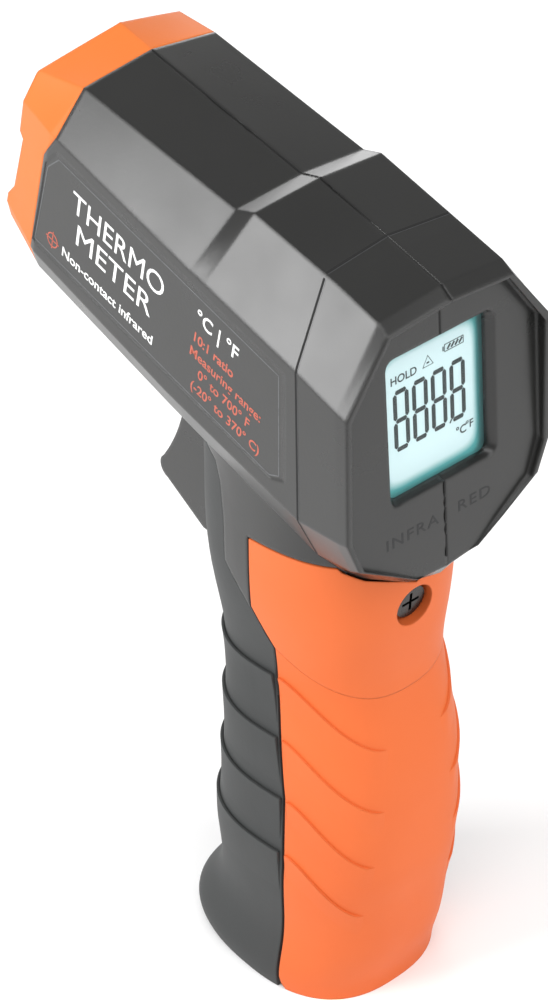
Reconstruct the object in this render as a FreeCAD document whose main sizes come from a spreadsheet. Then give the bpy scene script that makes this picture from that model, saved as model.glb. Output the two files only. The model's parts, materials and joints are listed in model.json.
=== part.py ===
"""Infrared thermometer, pistol shape, standing on the flat foot of its handle.

Units are millimetres. The part's frame has +Z up, +X towards the nose and +Y to the user's left;
its origin is the centre of the foot. The barrel leans back by the sheet's barrel_tilt, so the
pieces in it are drawn along the barrel's own axes first and then set at HEAD.
"""
import FreeCAD, Part
import math
import os

import Sketcher

os.makedirs("parts", exist_ok=True)
doc = FreeCAD.newDocument("InfraredThermometer")
Vector = FreeCAD.Vector
Rotation = FreeCAD.Rotation
Placement = FreeCAD.Placement

# ---------------------------------------------------------------- driving dimensions
DIMENSIONS = {
    "barrel_tilt": 14.0,        # degrees, nose up, when the foot is flat on a table
    "seam_x": 38.9,             # bezel seam, along X from the foot's centre
    "shoulder_z": 136.2,        # height of the label's upper edge at the bezel seam
    "half_width": 19.0,
    "shell_wall": 2.0,
    "width_ratio": 0.86,        # handle half width over half depth
    "squareness": 2.5,          # exponent of the handle's super-ellipse section
    "grip_wall": 1.9,
    "door_wall": 1.7,
    "skin_wall": 0.6,
    "core_inset": 2.1,
    "core_wall": 1.2,
    "seam_gap": 0.4,
    "panel_lean": 19.2,         # degrees, display panel against the barrel's cross section
    "panel_wall": 1.5,
    "rim_wall": 1.0,
    "window_wide": 17.8,
    "window_tall": 22.4,
    "opening_wide": 20.0,
    "opening_tall": 23.4,
    "label_thick": 0.2,
    "lens_radius": 5.5,
    "tube_radius": 7.0,
    "lens_drop": 13.0,          # lens axis below the shoulder line
    "laser_radius": 3.0,
    "laser_drop": 1.2,
    "board_thick": 1.6,
    "trigger_wide": 11.0,
    "trigger_clear": 0.4,
    "pivot_x": 20.0,
    "pivot_z": 108.0,
    "pivot_radius": 1.5,
    "running_fit": 0.05,
    "plunger_radius": 1.2,
    "hinge_x": -13.8,
    "hinge_z": 2.6,
    "hinge_radius": 1.0,
    "knuckle_radius": 2.0,
    "door_screw_z": 78.0,
    "door_screw_radius": 1.45,
    "screw_head_radius": 2.7,
    "recess_radius": 3.4,
    "recess_depth": 2.6,
    "battery_long": 48.5,
    "battery_wide": 26.5,
    "battery_thick": 17.5,
    "battery_corner": 3.0,
    "battery_x": -3.9,
    "battery_z": 5.2,
    "battery_clear": 0.3,
    "post_screw_radius": 1.25,
}
sheet = doc.addObject("Spreadsheet::Sheet", "Dimensions")
for row, (alias, value) in enumerate(DIMENSIONS.items(), start=1):
    sheet.set("A%d" % row, alias)
    sheet.set("B%d" % row, str(value))
    sheet.setAlias("B%d" % row, alias)
doc.recompute()


def dim(alias):
    """Read one driving dimension back from the sheet."""
    return float(getattr(sheet, alias))


def bind(thing, **expressions):
    """Tie an object's properties to the sheet."""
    for name, expression in expressions.items():
        for alias in sorted(DIMENSIONS, key=len, reverse=True):
            expression = expression.replace("$" + alias, "Dimensions." + alias)
        thing.setExpression(name, expression)


Y_AXIS = Vector(0, 1, 0)
HEAD = Placement(Vector(dim("seam_x"), 0, dim("shoulder_z")), Rotation(Y_AXIS, -dim("barrel_tilt")))
PANEL_TOP = Vector(-59.8, 0, 9.8)       # upper end of the display panel's centre line
PANEL = HEAD * Placement(PANEL_TOP, Rotation(Y_AXIS, dim("panel_lean") - 90))
SUBPARTS = []


def keep(thing, label, place=None):
    """Give a finished piece its node name and its place."""
    thing.Label = label
    if place is not None:
        thing.Placement = place
    SUBPARTS.append(thing)
    return thing


def feature(name, shape):
    """Put a computed shape into the document."""
    thing = doc.addObject("Part::Feature", name)
    thing.Shape = shape
    return thing


# ---------------------------------------------------------------- outline laws
# Handle stations from the foot up: height, centre X, half depth.
HANDLE_STATIONS = [
    (0.0, 0.0, 18.5),
    (6.0, -0.6, 18.9),
    (11.5, -2.9, 17.9),
    (20.0, -3.4, 18.2),
    (30.0, -4.1, 18.5),
    (42.0, -4.4, 18.0),
    (52.0, -3.8, 17.3),
    (60.0, -2.7, 16.5),
    (70.0, -1.7, 17.2),
    (80.0, -1.2, 18.2),
    (92.0, -1.2, 18.4),
    (104.0, -1.2, 18.4),
]
SECTION_POINTS = 28


def handle_section(z, centre, half_depth, inset):
    """One closed super-ellipse wire of the handle, drawn inwards by inset."""
    power = 2 / dim("squareness")
    depth = half_depth - inset
    width = half_depth * dim("width_ratio") - inset
    points = []
    for i in range(SECTION_POINTS):
        angle = 2 * math.pi * i / SECTION_POINTS
        c, s = math.cos(angle), math.sin(angle)
        x = depth * math.copysign(abs(c) ** power, c)
        y = width * math.copysign(abs(s) ** power, s)
        points.append(Vector(centre + x, y, z))
    curve = Part.BSplineCurve()
    curve.interpolate(Points=points, PeriodicFlag=True)
    return Part.Wire([curve.toShape()])


def handle_solid(inset, low, high):
    """The handle's body between two heights, drawn inwards by inset."""
    wires = [handle_section(z, c, d, inset) for z, c, d in HANDLE_STATIONS]
    whole = Part.makeLoft(wires, True, False)
    if low <= HANDLE_STATIONS[0][0] and high >= HANDLE_STATIONS[-1][0]:
        return whole
    return whole.common(slab(low, high))


def slab(low, high):
    """Everything between two heights."""
    return Part.makeBox(200, 100, high - low, Vector(-100, -50, low))


# Barrel sections from the nose back, in barrel axes: the plane x = at + lean * z, then half of the
# outline as (y, z) from the ridge line on top to the keel below.
BARREL_SECTIONS = [
    (10.4, 0.0,
     [(0, 7.0), (13.0, 2.2), (14.5, -2.4), (14.4, -22.5), (13.2, -26.0), (6.0, -27.6), (0, -27.6)]),
    (0.0, 0.0,
     [(0, 7.6), (11.8, 5.8), (17.1, -0.1), (17.1, -23.2), (15.6, -27.0), (7.0, -29.0), (0, -29.0)]),
    (-31.8, 0.0,
     [(0, 10.1), (11.5, 9.1), (18.1, 1.0), (18.1, -22.9), (16.4, -26.9), (8.0, -29.0), (0, -29.0)]),
    (-35.0, 0.0,
     [(0, 12.0), (11.4, 11.1), (18.2, 1.2), (18.2, -22.7), (16.5, -26.8), (8.0, -28.9), (0, -28.9)]),
    (-55.0, 0.29,
     [(0, 12.7), (11.1, 11.9), (18.8, 2.2), (19, -21.0), (15.6, -28.2), (9.0, -35.6), (0, -41.5)]),
    (-63.1, 0.303,
     [(0, 12.9), (11.2, 12.0), (18.8, 1.9), (19, -18.2), (16.7, -23.9), (6.3, -30.9), (0, -32.5)]),
    (-65.2, 0.303,
     [(0, 12.0), (11.3, 11.2), (18.7, 1.9), (19, -17.2), (16.9, -22.4), (5.6, -29.1), (0, -29.1)]),
]
SIDE_TAPER = 1.9 / 61.0         # the sides draw in towards the nose from here on
SIDE_WIDEST = -61.0
# How far each half-outline point moves towards the inside, per millimetre of inset, as (y, z).
INSET_MOVES = [(0, -1), (-0.5, -1), (-1, -0.55), (-1, 0.3), (-0.8, 0.7), (-0.4, 1), (0, 1)]


def barrel_section(at, lean, half, inset):
    """One closed polygon of the barrel, drawn inwards by inset."""
    shifted = [(y + inset * dy, z + inset * dz) for (y, z), (dy, dz) in zip(half, INSET_MOVES)]
    around = shifted + [(-y, z) for y, z in reversed(shifted[1:-1])]
    points = [Vector(at + lean * z, y, z) for y, z in around]
    return Part.makePolygon(points + points[:1])


def barrel_solid(inset, rear_reach=0.0, nose_reach=0.0):
    """The barrel between its end sections, drawn inwards by inset, in the part's frame."""
    sections = list(BARREL_SECTIONS)
    at, lean, half = sections[-1]
    sections[-1] = (at - rear_reach, lean, half)
    at, lean, half = sections[0]
    sections[0] = (at + nose_reach, lean, half)
    wires = [barrel_section(at, lean, half, inset) for at, lean, half in sections]
    solid = Part.makeLoft(wires, True, True)
    return solid.transformGeometry(HEAD.toMatrix())


def side_prism(points, half_width=40.0, y_from=None):
    """A prism through the part, from an outline of (x, z) points seen from the side."""
    start = -half_width if y_from is None else y_from
    corners = [Vector(x, start, z) for x, z in points]
    face = Part.Face(Part.makePolygon(corners + corners[:1]))
    return face.extrude(Vector(0, half_width - start, 0))


def in_barrel(shape):
    """Move a shape drawn in barrel axes into the part's frame."""
    moved = shape.copy()
    moved.Placement = HEAD * moved.Placement
    return moved


def on_panel(shape):
    """Move a shape drawn on the display panel (x up, y left, z outwards) into the part's frame."""
    moved = shape.copy()
    moved.Placement = PANEL * moved.Placement
    return moved


def cylinder_y(x, z, radius, y_from, y_to):
    """A cylinder across the part."""
    return Part.makeCylinder(radius, y_to - y_from, Vector(x, y_from, z), Y_AXIS)


def rounded_rectangle(tall, wide, corner, z, centre_x):
    """A rounded rectangle wire in the panel's own plane."""
    rectangle = Part.makePlane(tall - 2 * corner, wide - 2 * corner,
                               Vector(centre_x - tall / 2 + corner, -wide / 2 + corner, z))
    return rectangle.OuterWire.makeOffset2D(corner)


# ---------------------------------------------------------------- where the handle's covers part
HINGE = Vector(dim("hinge_x"), 0, dim("hinge_z"))
DOOR_TOP_RADIUS = 85.9          # the door's upper edge swings about its hinge
DOOR_TURNS = (0.0, 0.7, 1.5, 2.5, 4.0)      # degrees of opening at which the door clears the barrel
GRIP_EDGE = [(40, 105.3), (20, 100.3), (6.4, 96.9), (5.2, 94.0), (4.5, 88.0), (4.4, 80.0), (-1.0, 74.6),
             (-5.4, 69.4), (-5.3, 63.0), (-8.5, 42.0), (-8.8, 28.0), (-7.4, -1.0), (40, -1.0)]
DOOR_EDGE = [(-1.4, 92.0), (-1.4, 74.9), (-5.8, 69.2), (-5.8, 63.0), (-9.0, 42.0), (-9.3, 28.0),
             (-8.1, 3.0), (-8.3, 1.5), (-8.8, 0.0), (-8.8, -1.0), (-40, -1.0), (-40, 92.0)]
SKIN_EDGE = [(-19.2, 62.0), (0.0, 72.6), (0.0, -1.0), (-40, -1.0), (-40, 50.5)]


def grown(points, by):
    """The door's outline with its front edge moved forward by a clearance."""
    return [(x + by if x > -30 else x, z) for x, z in points]


def door_region(gap):
    """The space the battery door may fill, larger by gap."""
    reach = Part.makeCylinder(DOOR_TOP_RADIUS + gap, 80, Vector(HINGE.x, -40, HINGE.z), Y_AXIS)
    return side_prism(grown(DOOR_EDGE, gap)).common(reach)


# ---------------------------------------------------------------- screw axis on the door
def door_surface_x(z):
    """Outer rear end of the handle at a height, between stations."""
    for (z0, c0, d0), (z1, c1, d1) in zip(HANDLE_STATIONS, HANDLE_STATIONS[1:]):
        if z0 <= z <= z1:
            share = (z - z0) / (z1 - z0)
            return (c0 + share * (c1 - c0)) - (d0 + share * (d1 - d0))
    raise ValueError("height is off the handle")


SCREW_POINT = Vector(door_surface_x(dim("door_screw_z")), 0, dim("door_screw_z"))
SCREW_ARM = SCREW_POINT - HINGE
SCREW_AXIS = Vector(SCREW_ARM.z, 0, -SCREW_ARM.x).normalize()


def along_screw(radius, start, end):
    """A cylinder on the door screw's axis, from start to end below the door's surface."""
    return Part.makeCylinder(radius, end - start, SCREW_POINT + SCREW_AXIS * start, SCREW_AXIS)


# ---------------------------------------------------------------- housing
SLOT_HALF = dim("trigger_wide") / 2 + dim("trigger_clear")
PIVOT = Vector(dim("pivot_x"), 0, dim("pivot_z"))
POSTS = [(-24.0, -4.5), (-46.0, -4.5), (-49.0, -14.5)]      # barrel axes
POST_RADIUS = 3.0
COUNTERBORE_RADIUS = 2.7
SCREW_SEAT_Y = -7.0
BOSS_START = 4.6
BOSS_END = 9.6
BOSS_RADIUS = 4.2
INSERT_RADIUS = 2.7
INSERT_BORE = 1.9
DOOR_BOSS_RADIUS = 4.4
DOOR_BOSS_END = 4.3
BOARD_FRONT = 7.0                       # depth of the circuit board's front face behind the panel
BOARD_POSTS = [(-7.5, -13.4), (-7.5, 13.4), (-29.5, -13.4), (-29.5, 13.4)]      # on the panel
BOARD_POST_RADIUS = 2.0
BOARD_SCREW_RADIUS = 0.8
SHELF = (0.0, 15.0, 121.0, 122.6)       # x from, x to, z from, z to: carries switch and spring
BATTERY_TOP = dim("battery_z") + dim("battery_long")
RELIEF_TALL = 4.4                       # the core stands back from the door's foot up to here
RELIEF_INSET = 3.9
SWING_RADIUS = 5.2                      # way for the door's knuckle
KNUCKLE_HALF = 5.0
LUG_START = 5.3
LUG_END = 6.8


def trigger_slot():
    """Way for the trigger through the barrel's underside and the handle's front."""
    outline = [(8.0, 69.6), (40, 69.6), (40, 95), (25.0, 101), (24.7, 112.5), (3.0, 112.5), (3.0, 100),
               (8.0, 98)]
    return side_prism(outline, SLOT_HALF)


def label_outline(grow):
    """Label outline in the barrel's side view, grown by a margin."""
    g = grow
    return [(-1.9 + g, -2.4 + g), (0.1 + g, -5.8), (0.7 + g, -21.2 - g), (-54.6, -18.7 - g),
            (-56.9 - g, -17.0), (-52.4 - g, -0.1 + g)]


def label_prism(grow, depth, side):
    """A slice of the barrel's side under the label; side is +1 left, -1 right."""
    widest = dim("half_width")
    corners = [Vector(x, side * (widest - SIDE_TAPER * (x - SIDE_WIDEST)), z)
               for x, z in label_outline(grow)]
    face = Part.Face(Part.makePolygon(corners + corners[:1]))
    inwards = Vector(-SIDE_TAPER, -side, 0).normalize()
    return in_barrel(face.extrude(inwards * depth))


def battery_box(margin):
    """The battery's block with rounded upright edges, grown by a margin."""
    deep = dim("battery_wide") + 2 * margin
    thick = dim("battery_thick") + 2 * margin
    box = Part.makeBox(deep, thick, dim("battery_long") + margin,
                       Vector(dim("battery_x") - deep / 2, -thick / 2, dim("battery_z")))
    upright = [e for e in box.Edges if abs(e.Vertexes[0].Z - e.Vertexes[1].Z) > 1]
    return box.makeFillet(dim("battery_corner"), upright)


def build_housing():
    """Both housing halves as one body, before it is split along the middle."""
    core_inner = dim("core_inset") + dim("core_wall")
    barrel = barrel_solid(0)
    neck = handle_solid(0, 60, 102).cut(side_prism(GRIP_EDGE)).cut(door_region(dim("seam_gap") - 0.1))
    core = handle_solid(dim("core_inset"), 0, 101)
    door_way = side_prism([(-12.5, 3.2), (-40, 3.2), (-40, 63.0), (-12.5, 63.0)])
    core = core.cut(door_way)
    foot_relief = handle_solid(0, 0, RELIEF_TALL).cut(handle_solid(RELIEF_INSET, 0, RELIEF_TALL))
    behind = side_prism([(-1, -1), (-1, RELIEF_TALL), (-40, RELIEF_TALL), (-40, -1)])
    core = core.cut([foot_relief.common(behind), cylinder_y(HINGE.x, HINGE.z, SWING_RADIUS, -11.0, 11.0)])
    solid = barrel.fuse([neck, core])

    barrel_hollow = barrel_solid(dim("shell_wall"), nose_reach=3.0)
    behind_panel = on_panel(Part.makeBox(120, 80, 60, Vector(-80, -40, -dim("panel_wall"))))
    barrel_hollow = barrel_hollow.cut(behind_panel)
    handle_hollow = handle_solid(core_inner, 2.6, 104)
    solid = solid.cut([barrel_hollow.fuse(handle_hollow), battery_box(dim("battery_clear"))])

    recess = barrel_solid(dim("rim_wall"), rear_reach=4.0)
    recess = recess.common(on_panel(Part.makeBox(120, 80, 60, Vector(-80, -40, 0))))
    solid = solid.cut(recess)
    centre_x = -(4.76 + dim("opening_tall") / 2)
    outer = rounded_rectangle(dim("opening_tall"), dim("opening_wide"), 1.6, 0.05, centre_x)
    inner = rounded_rectangle(dim("window_tall"), dim("window_wide"), 1.2, -dim("panel_wall") - 0.05,
                              centre_x)
    solid = solid.cut(on_panel(Part.makeLoft([outer, inner], True, True)))

    nose = in_barrel(side_prism(SEAM_EDGE + [(20, -40), (20, 15)]))
    solid = solid.cut(nose)
    solid = solid.cut(trigger_slot())
    for side in (1, -1):
        solid = solid.cut(label_prism(0.1, 0.25, side))
    return solid


# Side view of the bezel's seam in barrel axes, from the top down.
SEAM_EDGE = [(0.3, 15.0), (0.3, 5.9), (-1.3, 0.0), (0.9, -5.0), (1.1, -40.0)]
# Side view of the bezel's front, from below up.
NOSE_FRONT = [(10.2, -40.0), (9.8, -20.9), (8.2, -18.0), (7.5, -8.1), (8.7, -7.6), (8.9, 2.3), (7.4, 7.0),
              (7.2, 15.0)]


def add_inner_ribs(solid):
    """Posts, ribs and bosses inside the housing, before it is split."""
    inside = barrel_solid(1.0)
    posts = [in_barrel(cylinder_y(x, z, POST_RADIUS, -18.5, 18.5)) for x, z in POSTS]
    pin_posts = [cylinder_y(PIVOT.x, PIVOT.z, 3.2, y0, y1) for y0, y1 in ((-18.5, -6.0), (6.0, 18.5))]
    shelf = Part.makeBox(SHELF[1] - SHELF[0], 37, SHELF[3] - SHELF[2], Vector(SHELF[0], -18.5, SHELF[2]))
    ribs = [p.common(inside) for p in posts + pin_posts + [shelf]]
    web = Part.makeBox(8, 30, 1.6, SCREW_POINT + SCREW_AXIS * BOSS_START + Vector(0, -15, -0.8))
    web = web.common(handle_solid(dim("core_inset") + 0.2, 60, 90))
    boss = along_screw(BOSS_RADIUS, BOSS_START, BOSS_END)
    panel_posts = [on_panel(Part.makeCylinder(BOARD_POST_RADIUS, BOARD_FRONT - 1.4,
                                              Vector(x, y, -BOARD_FRONT)))
                   for x, y in BOARD_POSTS]
    solid = solid.fuse(ribs + [web, boss] + panel_posts)
    for x, y in BOARD_POSTS:
        pilot = Part.makeCylinder(BOARD_SCREW_RADIUS, 4.0, Vector(x, y, -BOARD_FRONT))
        solid = solid.cut(on_panel(pilot))
    for x, z in POSTS:
        screw_bore = cylinder_y(x, z, dim("post_screw_radius") + 0.05, SCREW_SEAT_Y - 1, 12.0)
        solid = solid.cut(in_barrel(screw_bore))
        solid = solid.cut(in_barrel(cylinder_y(x, z, COUNTERBORE_RADIUS + 0.2, -19.5, SCREW_SEAT_Y)))
    solid = solid.cut(cylinder_y(PIVOT.x, PIVOT.z, dim("pivot_radius"), -10.0, 10.0))
    solid = solid.cut(along_screw(INSERT_RADIUS, BOSS_START - 1, BOSS_END + 1))
    solid = solid.cut(along_screw(DOOR_BOSS_RADIUS + 0.6, -1, BOSS_START))
    lugs = [cylinder_y(HINGE.x, HINGE.z, dim("knuckle_radius"), y0, y1)
            for y0, y1 in ((-LUG_END, -LUG_START), (LUG_START, LUG_END))]
    feet = Part.makeBox(6.0, 2 * LUG_END, 2.4, Vector(HINGE.x, -LUG_END, 0.8))
    middle = Part.makeBox(12.0, 2 * LUG_START, 10.0, Vector(HINGE.x - 6.0, -LUG_START, -1.0))
    lugs = lugs[0].fuse([lugs[1], feet]).cut(middle)
    solid = solid.fuse(lugs)
    return solid.cut(cylinder_y(HINGE.x, HINGE.z, dim("hinge_radius"), -LUG_END - 1, LUG_END + 1))


def half_of(solid, side):
    """One half of a body split along the middle plane; side is +1 left, -1 right."""
    y_from = 0 if side > 0 else -60
    return solid.common(Part.makeBox(400, 60, 400, Vector(-200, y_from, -100)))


# ---------------------------------------------------------------- shells
housing = add_inner_ribs(build_housing())
keep(feature("LeftHousing", half_of(housing, 1)), "left_housing")
keep(feature("RightHousing", half_of(housing, -1)), "right_housing")

bezel_prism = in_barrel(side_prism(SEAM_EDGE + NOSE_FRONT))
bezel = barrel_solid(0).common(bezel_prism).cut(barrel_solid(dim("shell_wall"), nose_reach=3.0))
keep(feature("NoseBezel", bezel), "nose_bezel")

grip = handle_solid(0, 0, 104).cut(handle_solid(dim("grip_wall"), 0, 104))
grip = grip.common(side_prism(GRIP_EDGE)).cut(barrel_solid(-0.05))
grip = grip.cut(trigger_slot())
keep(feature("FrontGrip", grip), "front_grip")

door = handle_solid(0, 0, 104).cut(handle_solid(dim("door_wall"), 0, 104)).common(door_region(0))
swept_barrel = []
for turn in DOOR_TURNS:
    barrel_seen = barrel_solid(-dim("seam_gap") + 0.1)
    barrel_seen.rotate(HINGE, Y_AXIS, turn)      # where the barrel lies against the opened door
    swept_barrel.append(barrel_seen)
door = door.cut(swept_barrel)
door_boss = along_screw(DOOR_BOSS_RADIUS, 0.0, DOOR_BOSS_END).common(handle_solid(0.3, 60, 90))
knuckle = cylinder_y(HINGE.x, HINGE.z, dim("knuckle_radius"), -KNUCKLE_HALF, KNUCKLE_HALF)
knuckle_web = Part.makeBox(4.0, 2 * KNUCKLE_HALF, 2.6, Vector(HINGE.x - 4.2, -KNUCKLE_HALF, 1.6))
door = door.cut(battery_box(dim("battery_clear")))
door = door.fuse([door_boss, knuckle, knuckle_web])
pin_bore = dim("hinge_radius") + dim("running_fit")
door = door.cut(cylinder_y(HINGE.x, HINGE.z, pin_bore, -LUG_START, LUG_START))
door = door.cut(along_screw(dim("recess_radius"), -3.0, dim("recess_depth")))
door = door.cut(along_screw(dim("door_screw_radius") + dim("running_fit"), 0.0, DOOR_BOSS_END + 1))
skin = handle_solid(0, 0, 104).cut(handle_solid(dim("skin_wall"), 0, 104)).common(door_region(0))
skin = skin.common(side_prism(SKIN_EDGE))
door = door.cut(skin)
keep(feature("BatteryDoor", door), "battery_door")
keep(feature("DoorGripSkin", skin), "door_grip_skin")

for side, label in ((1, "left_label"), (-1, "right_label")):
    plate = label_prism(0, dim("label_thick"), side)
    keep(feature(label.title().replace("_", ""), plate), label)


# ---------------------------------------------------------------- simple bound pieces
def box(name, length, width, height, corner, place=None):
    """A Part::Box whose sides are sheet expressions or numbers; corner is its local origin."""
    thing = doc.addObject("Part::Box", name)
    bind(thing, Length=str(length), Width=str(width), Height=str(height))
    thing.Placement = (place or Placement()) * Placement(Vector(*corner), Rotation())
    return thing


def rod(name, radius, height, place):
    """A Part::Cylinder whose radius and height are sheet expressions or numbers."""
    thing = doc.addObject("Part::Cylinder", name)
    bind(thing, Radius=str(radius), Height=str(height))
    thing.Placement = place
    return thing


def cut(name, base, tool):
    """A Part::Cut of two document objects."""
    thing = doc.addObject("Part::Cut", name)
    thing.Base = base
    thing.Tool = tool
    return thing


def turned(name, steps, bore=None):
    """A PartDesign body of discs stacked along its own Z; a step is (radius, length)."""
    body = doc.addObject("PartDesign::Body", name)
    plane = [f for f in body.Origin.OriginFeatures if f.Role == "XY_Plane"][0]
    start = 0.0
    for number, (radius, length) in enumerate(steps):
        sketch = body.newObject("Sketcher::SketchObject", "%sDisc%d" % (name, number))
        sketch.AttachmentSupport = [(plane, "")]
        sketch.MapMode = "FlatFace"
        sketch.AttachmentOffset = Placement(Vector(0, 0, start), Rotation())
        circle_in(sketch, radius)
        pad = body.newObject("PartDesign::Pad", "%sPad%d" % (name, number))
        pad.Profile = sketch
        bind(pad, Length=str(length))
        doc.recompute()
        start += float(pad.Length)
    if bore is not None:
        sketch = body.newObject("Sketcher::SketchObject", "%sBoreSketch" % name)
        sketch.AttachmentSupport = [(plane, "")]
        sketch.MapMode = "FlatFace"
        circle_in(sketch, bore)
        pocket = body.newObject("PartDesign::Pocket", "%sBore" % name)
        pocket.Profile = sketch
        pocket.Type = "ThroughAll"
        pocket.Reversed = True
        doc.recompute()
    return body


def circle_in(sketch, radius):
    """A circle about the sketch's origin, its radius bound to the sheet."""
    circle = Part.Circle(Vector(0, 0, 0), Vector(0, 0, 1), 1.0)
    sketch.addGeometry(circle, False)
    sketch.addConstraint(Sketcher.Constraint("Coincident", 0, 3, -1, 1))
    number = sketch.addConstraint(Sketcher.Constraint("Radius", 0, 1.0))
    bind(sketch, **{"Constraints[%d]" % number: str(radius)})


ALONG_X = Rotation(Vector(0, 0, 1), Vector(1, 0, 0))
ALONG_Y = Rotation(Vector(0, 0, 1), Vector(0, 1, 0))
LENS_Z = -dim("lens_drop")
LASER_Z = -dim("laser_drop")


def barrel_place(x, z, y=0.0, turn=ALONG_X):
    """A place in barrel axes, by default with local Z along the barrel."""
    return HEAD * Placement(Vector(x, y, z), turn)


# ---------------------------------------------------------------- nose: sensor and laser
plate = barrel_solid(dim("shell_wall") + 0.05)
plate = plate.common(in_barrel(side_prism([(1.4, -40), (3.2, -40), (3.2, 15), (1.4, 15)])))
tube_bore = Part.makeCylinder(dim("tube_radius") + 0.05, 10, Vector(-2, 0, LENS_Z), Vector(1, 0, 0))
plate = plate.cut(in_barrel(tube_bore))
plate = plate.cut(in_barrel(Part.makeCylinder(2.2, 10, Vector(-2, 0, LASER_Z), Vector(1, 0, 0))))
keep(feature("SensorPlate", plate), "sensor_plate")

tube = turned("LensTube", [("$tube_radius", 18.6)], "$lens_radius")
keep(tube, "lens_tube", barrel_place(-14.4, LENS_Z))

lens_disc = rod("LensDisc", "$lens_radius", 2.2, barrel_place(-0.6, LENS_Z))
lens_ball = doc.addObject("Part::Sphere", "LensBall")
bind(lens_ball, Radius="$lens_radius * 2")
lens_ball.Placement = barrel_place(1.6 - 2 * dim("lens_radius"), LENS_Z)
lens = doc.addObject("Part::Common", "InfraredLens")
lens.Base = lens_disc
lens.Tool = lens_ball
keep(lens, "infrared_lens")

can = turned("SensorCan", [(4.6, 0.8), (4.1, 3.2)])
keep(can, "sensor_can", barrel_place(-14.4, LENS_Z))
sensor_board = box("SensorBoard", "$board_thick", 14, 25, (-16.0, -7, -20), HEAD)
keep(sensor_board, "sensor_board")
keep(box("SensorCable", 36.4, 8, 0.4, (-52.6, 3.5, 3.0), HEAD), "sensor_cable")
laser = turned("LaserModule", [("$laser_radius", 11.6)], 0.8)
keep(laser, "laser_module", barrel_place(-11.2, LASER_Z))
keep(rod("LaserWindow", 2.15, 0.8, barrel_place(0.9, LASER_Z)), "laser_window")

# ---------------------------------------------------------------- display
CENTRE_X = -(4.76 + dim("opening_tall") / 2)


def display_layer(name, label, tall, wide, thick, depth):
    """A flat rectangular layer behind the display opening."""
    corner = (CENTRE_X - tall / 2, -wide / 2, -depth - thick)
    return keep(box(name, tall, wide, thick, corner, PANEL), label)


display_layer("DisplayWindow", "display_window", 25.0, 20.8, 1.0, 1.55)
display_layer("LcdPanel", "lcd_panel", 25.0, 20.8, 1.6, 2.65)
display_layer("Backlight", "backlight", 25.0, 20.8, 2.2, 4.35)
board_corner = (-32.0, -15.2, -BOARD_FRONT - dim("board_thick"))
board = box("BoardBlank", 27.0, 30.4, "$board_thick", board_corner, PANEL)
drills = [rod("BoardDrill%d" % i, 1.0, 4, PANEL * Placement(Vector(x, y, -BOARD_FRONT - 3), Rotation()))
          for i, (x, y) in enumerate(BOARD_POSTS)]
drill_set = doc.addObject("Part::MultiFuse", "BoardDrills")
drill_set.Shapes = drills
keep(cut("MainBoard", board, drill_set), "main_board")
BOARD_BACK = BOARD_FRONT + dim("board_thick")
keep(rod("Buzzer", 5.0, 3.2, PANEL * Placement(Vector(-22, -7, -BOARD_BACK - 3.2), Rotation())), "buzzer")


def fastener(head_radius, head_height, shank_radius, shank_length):
    """A round-headed screw: shank along +Z from the head's underside, head below it."""
    head = Part.makeCylinder(head_radius, head_height, Vector(0, 0, -head_height))
    slots = [Part.makeBox(head_radius * 1.2, 0.5, 0.8, Vector(-head_radius * 0.6, -0.25, -head_height))]
    slots.append(slots[0].copy())
    slots[1].rotate(Vector(0, 0, 0), Vector(0, 0, 1), 90)
    return head.fuse(Part.makeCylinder(shank_radius, shank_length)).cut(slots)


def fastener_set(name, label, screw, places):
    """Identical screws as one group of separate solids."""
    copies = []
    for place in places:
        one = screw.copy()
        one.Placement = place
        copies.append(one)
    return keep(feature(name, Part.makeCompound(copies)), label)


fastener_set("BoardScrews", "board_screws", fastener(1.6, 1.1, BOARD_SCREW_RADIUS - 0.02, 5.0),
             [PANEL * Placement(Vector(x, y, -BOARD_BACK), Rotation()) for x, y in BOARD_POSTS])
fastener_set("HousingScrews", "housing_screws", fastener(2.5, 1.9, dim("post_screw_radius"), 15.5),
             [barrel_place(x, z, SCREW_SEAT_Y, ALONG_Y) for x, z in POSTS])

# ---------------------------------------------------------------- trigger and its switch
XZ_BACK = Rotation(Vector(1, 0, 0), 90)


def segment(start, end):
    """A straight stretch of a side outline."""
    return Part.LineSegment(Vector(start[0], start[1], 0), Vector(end[0], end[1], 0))


def bend(start, middle, end):
    """A round stretch of a side outline through three points."""
    return Part.Arc(*(Vector(x, y, 0) for x, y in (start, middle, end)))


def profile_body(name, outline, width):
    """A PartDesign body padded both ways from the middle plane."""
    body = doc.addObject("PartDesign::Body", name)
    plane = [f for f in body.Origin.OriginFeatures if f.Role == "XZ_Plane"][0]
    sketch = body.newObject("Sketcher::SketchObject", name + "Outline")
    sketch.AttachmentSupport = [(plane, "")]
    sketch.MapMode = "FlatFace"
    sketch.addGeometry(outline, False)
    pad = body.newObject("PartDesign::Pad", name + "Pad")
    pad.Profile = sketch
    pad.Midplane = True
    bind(pad, Length=str(width))
    doc.recompute()
    return body, plane


def side_bore(body, plane, name, x, z, radius):
    """A round hole through a side-profile body."""
    sketch = body.newObject("Sketcher::SketchObject", name + "Sketch")
    sketch.AttachmentSupport = [(plane, "")]
    sketch.MapMode = "FlatFace"
    sketch.AttachmentOffset = Placement(Vector(x, z, 0), Rotation())
    circle_in(sketch, radius)
    pocket = body.newObject("PartDesign::Pocket", name)
    pocket.Profile = sketch
    pocket.Type = "ThroughAll"
    pocket.Midplane = True
    doc.recompute()


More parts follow.
